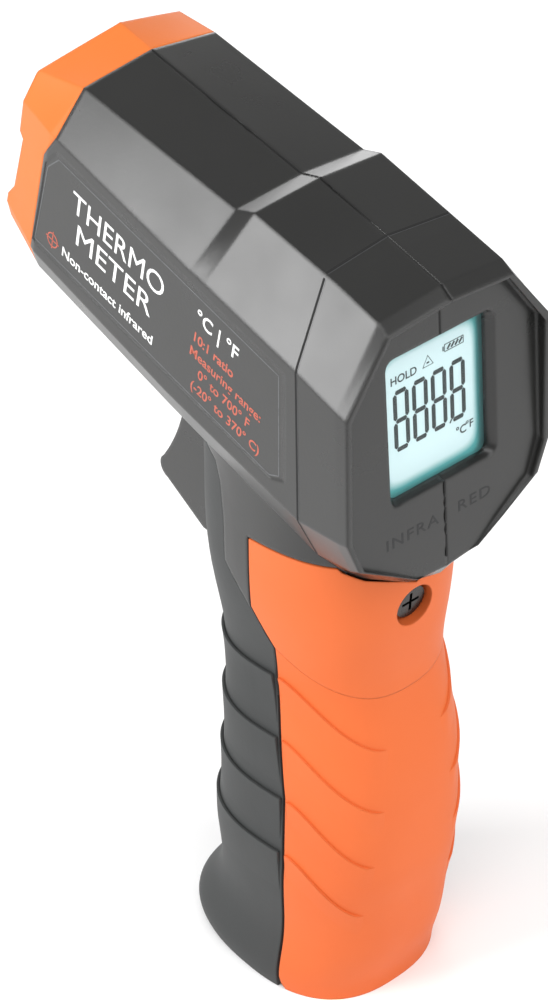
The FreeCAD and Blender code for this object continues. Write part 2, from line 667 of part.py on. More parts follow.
TRIGGER_CORNERS = [(24.3, 103.4), (30.2, 79.0), (29.3, 75.3), (21.0, 70.6), (13.0, 70.6), (13.0, 104.0),
                   (3.6, 107.0),
                   (3.6, 110.0), (17.5, 110.0), (23.2, 108.0)]
TRIGGER_BENDS = {0: (25.3, 90.0), 1: (30.9, 76.9), 8: (21.6, 110.8)}      # middle point of a round side
trigger_outline = []
for number, corner in enumerate(TRIGGER_CORNERS):
    following = TRIGGER_CORNERS[(number + 1) % len(TRIGGER_CORNERS)]
    if number in TRIGGER_BENDS:
        trigger_outline.append(bend(corner, TRIGGER_BENDS[number], following))
    else:
        trigger_outline.append(segment(corner, following))
trigger, trigger_plane = profile_body("Trigger", trigger_outline, "$trigger_wide")
side_bore(trigger, trigger_plane, "TriggerBore", PIVOT.x, PIVOT.z, "$pivot_radius + $running_fit")
keep(trigger, "trigger")

pin_place = Placement(Vector(PIVOT.x, -10, PIVOT.z), ALONG_Y)
keep(rod("TriggerPin", "$pivot_radius", 20, pin_place), "trigger_pin")

SPRING = (12.2, 110.15, 120.9, 1.9, 0.3)       # x, low z, high z, coil radius, wire radius
helix = doc.addObject("Part::Helix", "SpringPath")
helix.Pitch = 1.7
helix.Height = SPRING[2] - SPRING[1] - 2 * SPRING[4]
helix.Radius = SPRING[3]
helix.Placement = Placement(Vector(SPRING[0], 0, SPRING[1] + SPRING[4]), Rotation())
wire_end = doc.addObject("Part::Circle", "SpringWire")
wire_end.Radius = SPRING[4]
wire_end.Placement = Placement(Vector(SPRING[0] + SPRING[3], 0, SPRING[1] + SPRING[4]), XZ_BACK)
doc.recompute()
coil = doc.addObject("Part::Sweep", "TriggerSpring")
coil.Sections = [wire_end]
coil.Spine = (helix, [])
coil.Solid = True
coil.Frenet = True
keep(coil, "trigger_spring")

PLUNGER_X = 5.4
switch_block = box("SwitchBlock", 8.0, 7.0, 7.3, (1.2, -3.5, 113.7))
plunger_way = rod("PlungerWay", "$plunger_radius + $running_fit", 5.8,
                  Placement(Vector(PLUNGER_X, 0, 113.6), Rotation()))
keep(cut("TriggerSwitch", switch_block, plunger_way), "trigger_switch")
keep(rod("SwitchPlunger", "$plunger_radius", 7.0, Placement(Vector(PLUNGER_X, 0, 110.4), Rotation())),
     "switch_plunger")

# ---------------------------------------------------------------- battery bay
battery_body = battery_box(0)
STUD_TALL = 2.2
STUD_RADIUS = 2.8
STUD_PLACES = (-6.35, 6.35)
SNAP_LONG = 25.0
SNAP_WIDE = 13.0
SNAP_TALL = 3.4
stud_z = BATTERY_TOP - STUD_TALL
battery_body = battery_body.common(slab(0, stud_z))
studs = [Part.makeCylinder(STUD_RADIUS, STUD_TALL, Vector(dim("battery_x") + x, 0, stud_z))
         for x in STUD_PLACES]
keep(feature("NineVoltBattery", battery_body.fuse(studs)), "nine_volt_battery")
snap = Part.makeBox(SNAP_LONG, SNAP_WIDE, SNAP_TALL,
                    Vector(dim("battery_x") - SNAP_LONG / 2, -SNAP_WIDE / 2, stud_z + 0.1))
snap = snap.cut([Part.makeCylinder(STUD_RADIUS + dim("running_fit"), STUD_TALL + 0.1,
                                   Vector(dim("battery_x") + x, 0, stud_z)) for x in STUD_PLACES])
keep(feature("BatterySnap", snap), "battery_snap")
FOAM_START = (-7.7, -6.0, 2.65)         # just above the floor and in front of the hinge lugs
FOAM_LONG = 15.0
FOAM_WIDE = 12.0
keep(box("BatteryFoam", FOAM_LONG, FOAM_WIDE, dim("battery_z") - FOAM_START[2] - 0.1, FOAM_START),
     "battery_foam")

LEAD_X = -4.0
LEAD_BEND = 7.6
LEAD_TURN_Z = 98.0
LEAD_RADIUS = 0.6


def lead(y):
    """One insulated wire from the snap up to the circuit board."""
    foot = Vector(LEAD_X, y, stud_z + SNAP_TALL + 0.1)
    turn = Vector(LEAD_X, y, LEAD_TURN_Z)
    after = Vector(LEAD_X - LEAD_BEND, y, LEAD_TURN_Z + LEAD_BEND)
    half = LEAD_BEND * (1 - math.sqrt(0.5))
    middle = Vector(LEAD_X - half, y, LEAD_TURN_Z + LEAD_BEND - half)
    path = Part.Wire([Part.LineSegment(foot, turn).toShape(), Part.Arc(turn, middle, after).toShape(),
                      Part.LineSegment(after, after - Vector(2.2, 0, 0)).toShape()])
    ring = Part.Wire([Part.makeCircle(LEAD_RADIUS, foot, Vector(0, 0, 1))])
    return path.makePipeShell([ring], True, False)


keep(feature("BatteryLeads", Part.makeCompound([lead(-1.5), lead(1.5)])), "battery_leads")

# ---------------------------------------------------------------- door hardware
pin_place = Placement(HINGE - Vector(0, LUG_END, 0), ALONG_Y)
keep(rod("DoorHingePin", "$hinge_radius", 2 * LUG_END, pin_place), "door_hinge_pin")
INWARD = Rotation(Vector(0, 0, 1), SCREW_AXIS)
insert = turned("ScrewInsert", [(INSERT_RADIUS, BOSS_END - BOSS_START)], INSERT_BORE)
keep(insert, "screw_insert", Placement(SCREW_POINT + SCREW_AXIS * BOSS_START, INWARD))
screw = fastener(dim("screw_head_radius"), 1.6, dim("door_screw_radius"), 7.2)
keep(feature("DoorScrew", screw), "door_screw",
     Placement(SCREW_POINT + SCREW_AXIS * (dim("recess_depth") - 0.05), INWARD))


# ---------------------------------------------------------------- check and write
doc.recompute()
for thing in doc.Objects:
    bad = [state for state in thing.State if state in ("Invalid", "Error")]
    if bad:
        raise RuntimeError("%s did not recompute: %s" % (thing.Name, bad))
for thing in SUBPARTS:
    shape = thing.Shape
    if shape.isNull() or not shape.isValid() or shape.Volume <= 0:
        raise RuntimeError("%s has no valid solid" % thing.Label)
for thing in SUBPARTS:
    thing.Shape.exportStep("parts/%s.step" % thing.Label)
    print("%-20s %9.1f mm3  %d solid(s)" % (thing.Label, thing.Shape.Volume, len(thing.Shape.Solids)))
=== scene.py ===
"""Looks of a pistol-shaped infrared thermometer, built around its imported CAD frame.

Blender units are metres. +Z is up, +X runs to the nose and +Y to the user's left. Two CAD nodes, the
display's window and the sensor's board, give the panel's and the barrel's own axes. Ridges and fins are
laid on the CAD shells by rays, seams and grooves by the nearest point, and print by the label's own plane.
"""

import json
import math

import bmesh
import bpy
from mathutils import Matrix, Vector
from mathutils.bvhtree import BVHTree


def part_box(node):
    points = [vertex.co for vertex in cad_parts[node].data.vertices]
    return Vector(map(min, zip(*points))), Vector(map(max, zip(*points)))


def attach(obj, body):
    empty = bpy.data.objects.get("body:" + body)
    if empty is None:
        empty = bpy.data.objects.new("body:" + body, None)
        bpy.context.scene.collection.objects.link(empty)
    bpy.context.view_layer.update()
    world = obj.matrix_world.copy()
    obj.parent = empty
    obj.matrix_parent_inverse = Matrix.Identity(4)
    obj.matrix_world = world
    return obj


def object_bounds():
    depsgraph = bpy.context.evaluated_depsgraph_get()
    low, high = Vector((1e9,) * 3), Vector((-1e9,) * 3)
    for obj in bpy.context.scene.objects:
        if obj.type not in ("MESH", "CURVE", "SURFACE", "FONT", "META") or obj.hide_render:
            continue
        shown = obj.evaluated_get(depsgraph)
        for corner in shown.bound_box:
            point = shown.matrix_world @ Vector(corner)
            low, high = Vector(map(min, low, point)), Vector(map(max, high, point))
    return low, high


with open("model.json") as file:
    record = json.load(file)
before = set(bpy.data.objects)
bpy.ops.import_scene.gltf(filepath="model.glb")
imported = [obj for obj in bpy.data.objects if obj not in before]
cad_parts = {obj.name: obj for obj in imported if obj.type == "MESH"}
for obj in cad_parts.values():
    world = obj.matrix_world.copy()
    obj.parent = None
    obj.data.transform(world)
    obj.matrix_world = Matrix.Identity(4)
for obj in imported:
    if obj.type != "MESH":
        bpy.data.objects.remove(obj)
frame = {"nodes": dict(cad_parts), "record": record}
CAD_BOX = [list(corner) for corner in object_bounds()]
MM = 0.001
NODES = frame["nodes"]
RECORD = frame["record"]
SLOT_OF = {part["node"]: part["material_slot"] for part in RECORD["subparts"]}


# ---------------------------------------------------------------- axes taken from the CAD nodes
FACING = 0.75                           # cosine within which a face counts as looking along a hint
SHELL_WELD = 0.001 * MM                 # gaps up to this close up in a copied shell
PIECE_WELD = 0.0001 * MM


def block_axes(node, up_hint, out_hint):
    """Centre and axes of a rectangular CAD block: columns are its local X, Y and Z.

    out_hint is roughly the block's local Z and up_hint roughly its local X.
    """
    mesh = NODES[node].data
    average = {}
    for name, hint in (("out", Vector(out_hint)), ("up", Vector(up_hint))):
        faces = [p for p in mesh.polygons if p.normal.dot(hint.normalized()) > FACING]
        average[name] = sum((p.normal * p.area for p in faces), Vector()).normalized()
    out = average["out"]
    side = out.cross(average["up"]).normalized()
    centre = sum((v.co for v in mesh.vertices), Vector()) / len(mesh.vertices)
    lowest, highest = Vector((math.inf,) * 3), Vector((-math.inf,) * 3)
    turn = Matrix((side.cross(out), side, out)).transposed()
    back = turn.inverted()
    for v in mesh.vertices:
        local = back @ (v.co - centre)
        lowest = Vector(map(min, lowest, local))
        highest = Vector(map(max, highest, local))
    middle = centre + turn @ ((lowest + highest) / 2)
    return Matrix.LocRotScale(middle, turn.to_quaternion(), None), highest - lowest


WINDOW_FRAME, WINDOW_SIZE = block_axes("display_window", (0.3, 0, 0.9), (-0.9, 0, 0.3))
WINDOW_DEPTH = 1.55 * MM                # the window's outer face lies this far below the panel's face
WINDOW_CENTRE_DROP = 16.46 * MM         # from the panel's upper end down to the window's centre
PANEL = WINDOW_FRAME @ Matrix.Translation((WINDOW_CENTRE_DROP, 0, WINDOW_SIZE.z / 2 + WINDOW_DEPTH))
BOARD_FRAME, _ = block_axes("sensor_board", (-0.2, 0, 0.97), (0.97, 0, 0.2))
BOARD_TO_SEAM = Vector((7.5, 0, 15.2)) * MM      # from the sensor board's centre up and forward to the seam
BARREL_ORIGIN = BOARD_FRAME @ BOARD_TO_SEAM
FORWARD = (BOARD_FRAME.to_3x3() @ Vector((0, 0, 1))).normalized()
UPWARD = (BOARD_FRAME.to_3x3() @ Vector((1, 0, 0))).normalized()
LEFT = Vector((0, 1, 0))
BARREL = Matrix.Translation(BARREL_ORIGIN) @ Matrix((FORWARD, LEFT, UPWARD)).transposed().to_4x4()
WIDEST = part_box("left_housing")[1].y / MM
SIDE_TAPER = 1.9 / 61.0                 # the barrel's sides draw in by this towards the nose
SIDE_WIDEST = -61.0
LABEL_FALL = 1.33                       # the label runs this much lower for each millimetre drawn in
LABEL_REACH = 1.08                      # and its print moves this much forward for each millimetre


def in_barrel(x, y, z):
    """A point in barrel axes, in millimetres: x forward, y left and z up from near the bezel's seam."""
    return BARREL @ (Vector((x, y, z)) * MM)


def on_panel(down, left, out=0.0):
    """A point on the display panel, in millimetres down and left of its upper end."""
    return PANEL @ (Vector((-down, left, out)) * MM)


# ---------------------------------------------------------------- materials
def moulded_plastic(name, colour, second, roughness, grain, grain_depth, edge=0.0002, sheen=0.0, coat=0.0,
                    specular=0.5):
    """Moulded plastic or rubber: two close shades, a spark-eroded grain, softly rounded edges."""
    material = bpy.data.materials.new(name)
    material.use_nodes = True
    nodes, links = material.node_tree.nodes, material.node_tree.links
    nodes.clear()
    output = nodes.new("ShaderNodeOutputMaterial")
    output.label, output.location = "Surface out", (1100, 0)
    shader = nodes.new("ShaderNodeBsdfPrincipled")
    shader.label, shader.location = "Moulded polymer", (800, 0)
    place = nodes.new("ShaderNodeTexCoord")
    place.label, place.location = "Object coordinates", (-900, 0)
    tone_frame = nodes.new("NodeFrame")
    tone_frame.label, tone_frame.location = "Colour drift", (-600, 300)
    gloss_frame = nodes.new("NodeFrame")
    gloss_frame.label, gloss_frame.location = "Handling gloss", (-600, 0)
    grain_frame = nodes.new("NodeFrame")
    grain_frame.label, grain_frame.location = "Mould grain", (-600, -400)
    drift = nodes.new("ShaderNodeTexNoise")
    drift.label, drift.location, drift.parent = "Slow drift of the pigment", (0, 0), tone_frame
    drift.inputs["Scale"].default_value = 38
    drift.inputs["Detail"].default_value = 3
    shades = nodes.new("ShaderNodeValToRGB")
    shades.label, shades.location, shades.parent = "Two close shades", (250, 0), tone_frame
    shades.color_ramp.elements[0].color = (*second, 1)
    shades.color_ramp.elements[0].position = 0.3
    shades.color_ramp.elements[1].color = (*colour, 1)
    shades.color_ramp.elements[1].position = 0.6
    handled = nodes.new("ShaderNodeTexNoise")
    handled.label, handled.location, handled.parent = "Patches polished by handling", (0, 0), gloss_frame
    handled.inputs["Scale"].default_value = 85
    handled.inputs["Detail"].default_value = 4
    range_node = nodes.new("ShaderNodeMapRange")
    range_node.label, range_node.location, range_node.parent = "Roughness band", (250, 0), gloss_frame
    range_node.inputs["From Min"].default_value = 0.25
    range_node.inputs["From Max"].default_value = 0.75
    range_node.inputs["To Min"].default_value = roughness - 0.045
    range_node.inputs["To Max"].default_value = roughness + 0.045
    texture = nodes.new("ShaderNodeTexNoise")
    texture.label, texture.location, texture.parent = "Spark-eroded grain", (0, 0), grain_frame
    texture.inputs["Scale"].default_value = grain
    texture.inputs["Detail"].default_value = 2
    bump = nodes.new("ShaderNodeBump")
    bump.label, bump.location, bump.parent = "Grain relief", (500, 0), grain_frame
    bump.inputs["Strength"].default_value = 0.6
    bump.inputs["Distance"].default_value = grain_depth
    rounded = nodes.new("ShaderNodeBevel")
    rounded.label, rounded.location, rounded.parent = "Rounded edges", (250, -200), grain_frame
    rounded.samples = 6
    rounded.inputs["Radius"].default_value = edge
    shader.inputs["IOR"].default_value = 1.49
    shader.inputs["Specular IOR Level"].default_value = specular
    shader.inputs["Sheen Weight"].default_value = sheen
    shader.inputs["Coat Weight"].default_value = coat
    shader.inputs["Coat Roughness"].default_value = 0.3
    for noise in (drift, handled, texture):
        links.new(place.outputs["Object"], noise.inputs["Vector"])
    links.new(drift.outputs["Fac"], shades.inputs["Fac"])
    links.new(shades.outputs["Color"], shader.inputs["Base Color"])
    links.new(handled.outputs["Fac"], range_node.inputs["Value"])
    links.new(range_node.outputs["Result"], shader.inputs["Roughness"])
    links.new(texture.outputs["Fac"], bump.inputs["Height"])
    links.new(rounded.outputs["Normal"], bump.inputs["Normal"])
    links.new(bump.outputs["Normal"], shader.inputs["Normal"])
    links.new(shader.outputs["BSDF"], output.inputs["Surface"])
    return material


def worked_metal(name, colour, roughness, stretch):
    """Plated, drawn or turned metal with fine tool lines."""
    material = bpy.data.materials.new(name)
    material.use_nodes = True
    nodes, links = material.node_tree.nodes, material.node_tree.links
    nodes.clear()
    output = nodes.new("ShaderNodeOutputMaterial")
    output.label, output.location = "Surface out", (900, 0)
    shader = nodes.new("ShaderNodeBsdfPrincipled")
    shader.label, shader.location = "Bare or plated metal", (600, 0)
    place = nodes.new("ShaderNodeTexCoord")
    place.label, place.location = "Object coordinates", (-900, 0)
    line_frame = nodes.new("NodeFrame")
    line_frame.label, line_frame.location = "Tool lines", (-650, 0)
    stretch_node = nodes.new("ShaderNodeMapping")
    stretch_node.label, stretch_node.location = "Lines along the work", (0, 0)
    stretch_node.parent = line_frame
    stretch_node.inputs["Scale"].default_value = stretch
    lines = nodes.new("ShaderNodeTexNoise")
    lines.label, lines.location, lines.parent = "Fine tool lines", (220, 0), line_frame
    lines.inputs["Scale"].default_value = 900
    lines.inputs["Detail"].default_value = 3
    band = nodes.new("ShaderNodeMapRange")
    band.label, band.location, band.parent = "Roughness band", (450, 0), line_frame
    band.inputs["To Min"].default_value = roughness - 0.1
    band.inputs["To Max"].default_value = roughness + 0.12
    bump = nodes.new("ShaderNodeBump")
    bump.label, bump.location, bump.parent = "Line relief", (450, -300), line_frame
    bump.inputs["Strength"].default_value = 0.3
    bump.inputs["Distance"].default_value = 0.00001
    shader.inputs["Base Color"].default_value = (*colour, 1)
    shader.inputs["Metallic"].default_value = 1
    links.new(place.outputs["Object"], stretch_node.inputs["Vector"])
    links.new(stretch_node.outputs["Vector"], lines.inputs["Vector"])
    links.new(lines.outputs["Fac"], band.inputs["Value"])
    links.new(lines.outputs["Fac"], bump.inputs["Height"])
    links.new(band.outputs["Result"], shader.inputs["Roughness"])
    links.new(bump.outputs["Normal"], shader.inputs["Normal"])
    links.new(shader.outputs["BSDF"], output.inputs["Surface"])
    return material


def ink_and_painted_light(name, colour, thin_colour, roughness=0.42):
    """Screen-printed ink, a little thinner in places. The same make-up also gives the dark seam lines, the
    painted shade of the groove and of the panel's debossed words, and the painted highlight on the groove's
    lip.
    """
    material = bpy.data.materials.new(name)
    material.use_nodes = True
    nodes, links = material.node_tree.nodes, material.node_tree.links
    nodes.clear()
    output = nodes.new("ShaderNodeOutputMaterial")
    output.label, output.location = "Surface out", (700, 0)
    shader = nodes.new("ShaderNodeBsdfPrincipled")
    shader.label, shader.location = "Ink and painted light film", (400, 0)
    place = nodes.new("ShaderNodeTexCoord")
    place.label, place.location = "Object coordinates", (-600, 0)
    ink_frame = nodes.new("NodeFrame")
    ink_frame.label, ink_frame.location = "Ink cover", (-400, 0)
    cover = nodes.new("ShaderNodeTexNoise")
    cover.label, cover.location, cover.parent = "Uneven ink cover", (0, 0), ink_frame
    cover.inputs["Scale"].default_value = 1400
    cover.inputs["Detail"].default_value = 3
    tint = nodes.new("ShaderNodeValToRGB")
    tint.label, tint.location, tint.parent = "Thin to full ink", (220, 0), ink_frame
    tint.color_ramp.elements[0].color = (*thin_colour, 1)
    tint.color_ramp.elements[0].position = 0.28
    tint.color_ramp.elements[1].color = (*colour, 1)
    tint.color_ramp.elements[1].position = 0.5
    shader.inputs["Roughness"].default_value = roughness
    links.new(place.outputs["Object"], cover.inputs["Vector"])
    links.new(cover.outputs["Fac"], tint.inputs["Fac"])
    links.new(tint.outputs["Color"], shader.inputs["Base Color"])
    links.new(shader.outputs["BSDF"], output.inputs["Surface"])
    return material


def display_face(name):
    """The liquid-crystal face: pale in the middle, painted teal light where the edge light enters, a faint
    painted glow, a faint cell pitch.
    """
    material = bpy.data.materials.new(name)
    material.use_nodes = True
    nodes, links = material.node_tree.nodes, material.node_tree.links
    nodes.clear()
    output = nodes.new("ShaderNodeOutputMaterial")
    output.label, output.location = "Surface out", (1200, 0)
    shader = nodes.new("ShaderNodeBsdfPrincipled")
    shader.label, shader.location = "Polariser film", (900, 0)
    place = nodes.new("ShaderNodeTexCoord")
    place.label, place.location = "Object coordinates", (-1200, 0)
    edge_frame = nodes.new("NodeFrame")
    edge_frame.label, edge_frame.location = "Painted edge light", (-950, 0)
    centre = nodes.new("ShaderNodeMapping")
    centre.label, centre.location, centre.parent = "Turn to the panel's axes", (0, 0), edge_frame
    centre.vector_type = "TEXTURE"
    centre.inputs["Location"].default_value = on_panel(16.9, 0.1)
    centre.inputs["Rotation"].default_value = WINDOW_FRAME.to_euler("XYZ")
    centre.inputs["Scale"].default_value = (11.6 * MM, 9.7 * MM, 20 * MM)
    power = nodes.new("ShaderNodeVectorMath")
    power.label, power.location, power.parent = "Square each way", (220, 0), edge_frame
    power.operation = "MULTIPLY"
    fourth = nodes.new("ShaderNodeVectorMath")
    fourth.label, fourth.location, fourth.parent = "Square again", (400, 0), edge_frame
    fourth.operation = "MULTIPLY"
    reach = nodes.new("ShaderNodeVectorMath")
    reach.label, reach.location, reach.parent = "Nearness to the edge", (580, 0), edge_frame
    reach.operation = "LENGTH"
    # Painted edge light: the face turns teal nearer its edge.
    tint = nodes.new("ShaderNodeValToRGB")
    tint.label, tint.location, tint.parent = "Pale face to teal edge", (760, 0), edge_frame
    tint.color_ramp.elements[0].color = (0.4, 0.5, 0.515, 1)
    tint.color_ramp.elements[0].position = 0.44
    tint.color_ramp.elements[1].color = (0.05, 0.25, 0.25, 1)
    tint.color_ramp.elements[1].position = 0.72
    cell_frame = nodes.new("NodeFrame")
    cell_frame.label, cell_frame.location = "Cell mottle", (-300, -350)
    mottle = nodes.new("ShaderNodeTexNoise")
    mottle.label, mottle.location, mottle.parent = "Faint cell mottle", (0, 0), cell_frame
    mottle.inputs["Scale"].default_value = 700
    relief = nodes.new("ShaderNodeBump")
    relief.label, relief.location, relief.parent = "Film relief", (220, 0), cell_frame
    relief.inputs["Strength"].default_value = 0.15
    relief.inputs["Distance"].default_value = 0.00002
    shader.inputs["Roughness"].default_value = 0.35
    # A faint painted glow: the face gives off a little light of its own.
    shader.inputs["Emission Color"].default_value = (0.65, 0.78, 0.8, 1)
    shader.inputs["Emission Strength"].default_value = 0.05
    links.new(place.outputs["Object"], centre.inputs["Vector"])
    links.new(centre.outputs["Vector"], power.inputs[0])
    links.new(centre.outputs["Vector"], power.inputs[1])
    links.new(power.outputs["Vector"], fourth.inputs[0])
    links.new(power.outputs["Vector"], fourth.inputs[1])
    links.new(fourth.outputs["Vector"], reach.inputs[0])
    links.new(reach.outputs["Value"], tint.inputs["Fac"])
    links.new(tint.outputs["Color"], shader.inputs["Base Color"])
    links.new(place.outputs["Object"], mottle.inputs["Vector"])
    links.new(mottle.outputs["Fac"], relief.inputs["Height"])
    links.new(relief.outputs["Normal"], shader.inputs["Normal"])
    links.new(shader.outputs["BSDF"], output.inputs["Surface"])
    return material


def clear_window(name, tint, roughness):
    """Clear moulded window that lets lamp light through to what is behind it."""
    material = bpy.data.materials.new(name)
    material.use_nodes = True
    nodes, links = material.node_tree.nodes, material.node_tree.links
    nodes.clear()
    output = nodes.new("ShaderNodeOutputMaterial")
    output.label, output.location = "Surface out", (900, 0)
    glass_frame = nodes.new("NodeFrame")
    glass_frame.label, glass_frame.location = "Clear sheet", (0, 0)
    shader = nodes.new("ShaderNodeBsdfPrincipled")
    shader.label, shader.location, shader.parent = "Clear acrylic", (0, 0), glass_frame
    open_way = nodes.new("ShaderNodeBsdfTransparent")
    open_way.label, open_way.location, open_way.parent = "Lamp light passes", (0, -300), glass_frame
    path = nodes.new("ShaderNodeLightPath")
    path.label, path.location, path.parent = "Rays from lamps", (0, 300), glass_frame
    choose = nodes.new("ShaderNodeMixShader")
    choose.label, choose.location, choose.parent = "Acrylic or open", (300, 0), glass_frame
    place = nodes.new("ShaderNodeTexCoord")
    place.label, place.location = "Object coordinates", (-900, 0)
    wave_frame = nodes.new("NodeFrame")
    wave_frame.label, wave_frame.location = "Moulding ripple", (-600, 0)
    ripple = nodes.new("ShaderNodeTexNoise")
    ripple.label, ripple.location, ripple.parent = "Slow moulding ripple", (0, 0), wave_frame
    ripple.inputs["Scale"].default_value = 120
    relief = nodes.new("ShaderNodeBump")
    relief.label, relief.location, relief.parent = "Ripple relief", (220, 0), wave_frame
    relief.inputs["Strength"].default_value = 0.1
    relief.inputs["Distance"].default_value = 0.00002
    shader.inputs["Base Color"].default_value = (*tint, 1)
    shader.inputs["Roughness"].default_value = roughness
    shader.inputs["IOR"].default_value = 1.1
    shader.inputs["Transmission Weight"].default_value = 1
    links.new(place.outputs["Object"], ripple.inputs["Vector"])
    links.new(ripple.outputs["Fac"], relief.inputs["Height"])
    links.new(relief.outputs["Normal"], shader.inputs["Normal"])
    links.new(path.outputs["Is Shadow Ray"], choose.inputs["Fac"])
    links.new(shader.outputs["BSDF"], choose.inputs[1])
    links.new(open_way.outputs["BSDF"], choose.inputs[2])
    links.new(choose.outputs["Shader"], output.inputs["Surface"])
    return material


PLASTICS = {
    # colour, second shade, roughness, grain scale and grain depth, then whatever isn't plain
    "housing_plastic": ((0.0125, 0.0125, 0.0118), (0.0105, 0.0105, 0.01), 0.3, 1900, 0.000012,
                        {"edge": 0.0008, "coat": 0.1, "specular": 0.5}),
    "grip_rubber": ((0.042, 0.044, 0.044), (0.036, 0.038, 0.038), 0.6, 1500, 0.000016,
                    {"edge": 0.0004, "sheen": 0.04, "specular": 0.22}),
    "orange_plastic": ((0.67, 0.138, 0.034), (0.645, 0.129, 0.031), 0.5, 1700, 0.00001,
                       {"edge": 0.0004, "specular": 0.22}),
    "orange_rubber": ((0.67, 0.136, 0.034), (0.645, 0.126, 0.031), 0.55, 1500, 0.000014,
                      {"edge": 0.0004, "specular": 0.2}),
    "bezel_plastic": ((0.68, 0.165, 0.034), (0.655, 0.155, 0.031), 0.5, 1700, 0.00001,
                      {"edge": 0.0008, "specular": 0.22}),
    "label_film": ((0.011, 0.011, 0.0115), (0.0095, 0.0095, 0.01), 0.42, 700, 0.000004,
                   {"edge": 0.00005, "specular": 0.25}),
    "nose_plate": ((0.01, 0.01, 0.0105), (0.008, 0.008, 0.0085), 0.5, 1500, 0.00002, {}),
    "lens_tube_plastic": ((0.009, 0.009, 0.0095), (0.007, 0.007, 0.0075), 0.55, 1500, 0.00002, {}),
    "lens_polymer": ((0.6, 0.59, 0.54), (0.54, 0.53, 0.48), 0.3, 600, 0.000006, {"coat": 0.4}),
    "backlight_guide": ((0.15, 0.5, 0.5), (0.12, 0.44, 0.45), 0.3, 600, 0.00001, {}),
    "circuit_board": ((0.012, 0.11, 0.045), (0.01, 0.09, 0.036), 0.35, 900, 0.00001, {"coat": 0.3}),
    "flat_cable": ((0.7, 0.66, 0.5), (0.64, 0.6, 0.45), 0.4, 900, 0.00001, {}),
    "black_part": ((0.012, 0.012, 0.012), (0.01, 0.01, 0.01), 0.45, 1400, 0.00002, {}),
    "wire_cover": ((0.5, 0.02, 0.015), (0.44, 0.016, 0.012), 0.4, 1500, 0.00001, {}),
    "foam": ((0.045, 0.045, 0.05), (0.025, 0.025, 0.03), 0.85, 1200, 0.0002, {"sheen": 0.3}),
}
METALS = {
    # colour, roughness, and how far the tool's lines stretch along each axis
    "bright_steel": ((0.55, 0.55, 0.56), 0.3, (1, 1, 8)),
    "spring_steel": ((0.45, 0.45, 0.47), 0.32, (1, 1, 6)),
    "brass_part": ((0.7, 0.46, 0.16), 0.28, (8, 1, 1)),
    "battery_case": ((0.1, 0.1, 0.12), 0.35, (1, 1, 10)),
}
MATERIALS = {name: moulded_plastic(name, *plain, **special) for name, (*plain, special) in PLASTICS.items()}
MATERIALS.update({name: worked_metal(name, *values) for name, values in METALS.items()})
MATERIALS["display_glass"] = clear_window("display_glass", (0.97, 1.0, 1.0), 0.03)
MATERIALS["lcd_face"] = display_face("lcd_face")
BLACKED_STEEL = worked_metal("blacked_steel", (0.06, 0.057, 0.055), 0.26, (1, 8, 1))
WHITE_INK = ink_and_painted_light("white_ink", (0.82, 0.83, 0.82), (0.66, 0.67, 0.67))
RED_INK = ink_and_painted_light("orange_red_ink", (0.46, 0.085, 0.045), (0.34, 0.06, 0.032))
BORDER_INK = ink_and_painted_light("border_ink", (0.1, 0.105, 0.11), (0.06, 0.063, 0.066))
SEGMENT_INK = ink_and_painted_light("display_segment", (0.012, 0.018, 0.019), (0.009, 0.014, 0.015), 0.5)
# Dark seam lines; along the groove the same strip is painted shade.
SEAM_SHADE = ink_and_painted_light("seam_shade", (0.004, 0.004, 0.004), (0.003, 0.003, 0.003), 0.8)
# Painted highlight: a paler strip for the groove's lit lip.
PAINTED_LIP_HIGHLIGHT = ink_and_painted_light("painted_lip_highlight", (0.045, 0.046, 0.048), (0.035, 0.036, 0.038), 0.35)
# Painted shade for the panel's debossed words.
LETTER_SHADE = ink_and_painted_light("letter_shade", (0.012, 0.012, 0.013), (0.008, 0.008, 0.009), 0.6)


def paint(target, material):
    """Give a mesh one material in every slot."""
    target.data.materials.clear()
    target.data.materials.append(material)


for name, node in NODES.items():
    for material_slot in node.material_slots:
        material_slot.material = MATERIALS[SLOT_OF[name]]
for material_slot in NODES["door_screw"].material_slots:
    material_slot.material = BLACKED_STEEL


# ---------------------------------------------------------------- finished meshes
def finished(name, mesh, material, body, smooth=None):
    """A finished piece at the origin, riding on its body."""
    piece = bpy.data.objects.new(name, mesh)
    bpy.context.scene.collection.objects.link(piece)
    paint(piece, material)
    if smooth is not None:
        mesh.shade_smooth()
        piece.data.set_sharp_from_angle(angle=math.radians(smooth))
    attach(piece, body)
    return piece


def mesh_from(name, points, faces):
    """A mesh whose faces are turned outwards when it is closed."""
    mesh = bpy.data.meshes.new(name)
    mesh.from_pydata([tuple(p) for p in points], [], faces)
    work = bmesh.new()
    work.from_mesh(mesh)
    bmesh.ops.remove_doubles(work, verts=work.verts, dist=PIECE_WELD)
    bmesh.ops.recalc_face_normals(work, faces=work.faces)
    work.to_mesh(mesh)
    work.free()
    return mesh


def shell_tree(*names):
    """A ray tree of CAD shells."""
    points, faces = [], []
    for name in names:
        mesh = NODES[name].data
        start = len(points)
        points += [v.co.copy() for v in mesh.vertices]
        faces += [[start + i for i in p.vertices] for p in mesh.polygons]
    return BVHTree.FromPolygons(points, faces)


SHELLS = shell_tree("left_housing", "right_housing", "nose_bezel", "front_grip", "battery_door",
                    "door_grip_skin")


def surface_object(name, tree_names):
    """A merged copy of CAD shells for a node tree to cast rays on. It is removed after the bake."""
    work = bmesh.new()
    for node in tree_names:
        work.from_mesh(NODES[node].data)
    bmesh.ops.remove_doubles(work, verts=work.verts, dist=SHELL_WELD)
    mesh = bpy.data.meshes.new(name)
    work.to_mesh(mesh)
    work.free()
    holder = bpy.data.objects.new(name, mesh)
    bpy.context.scene.collection.objects.link(holder)
    return holder


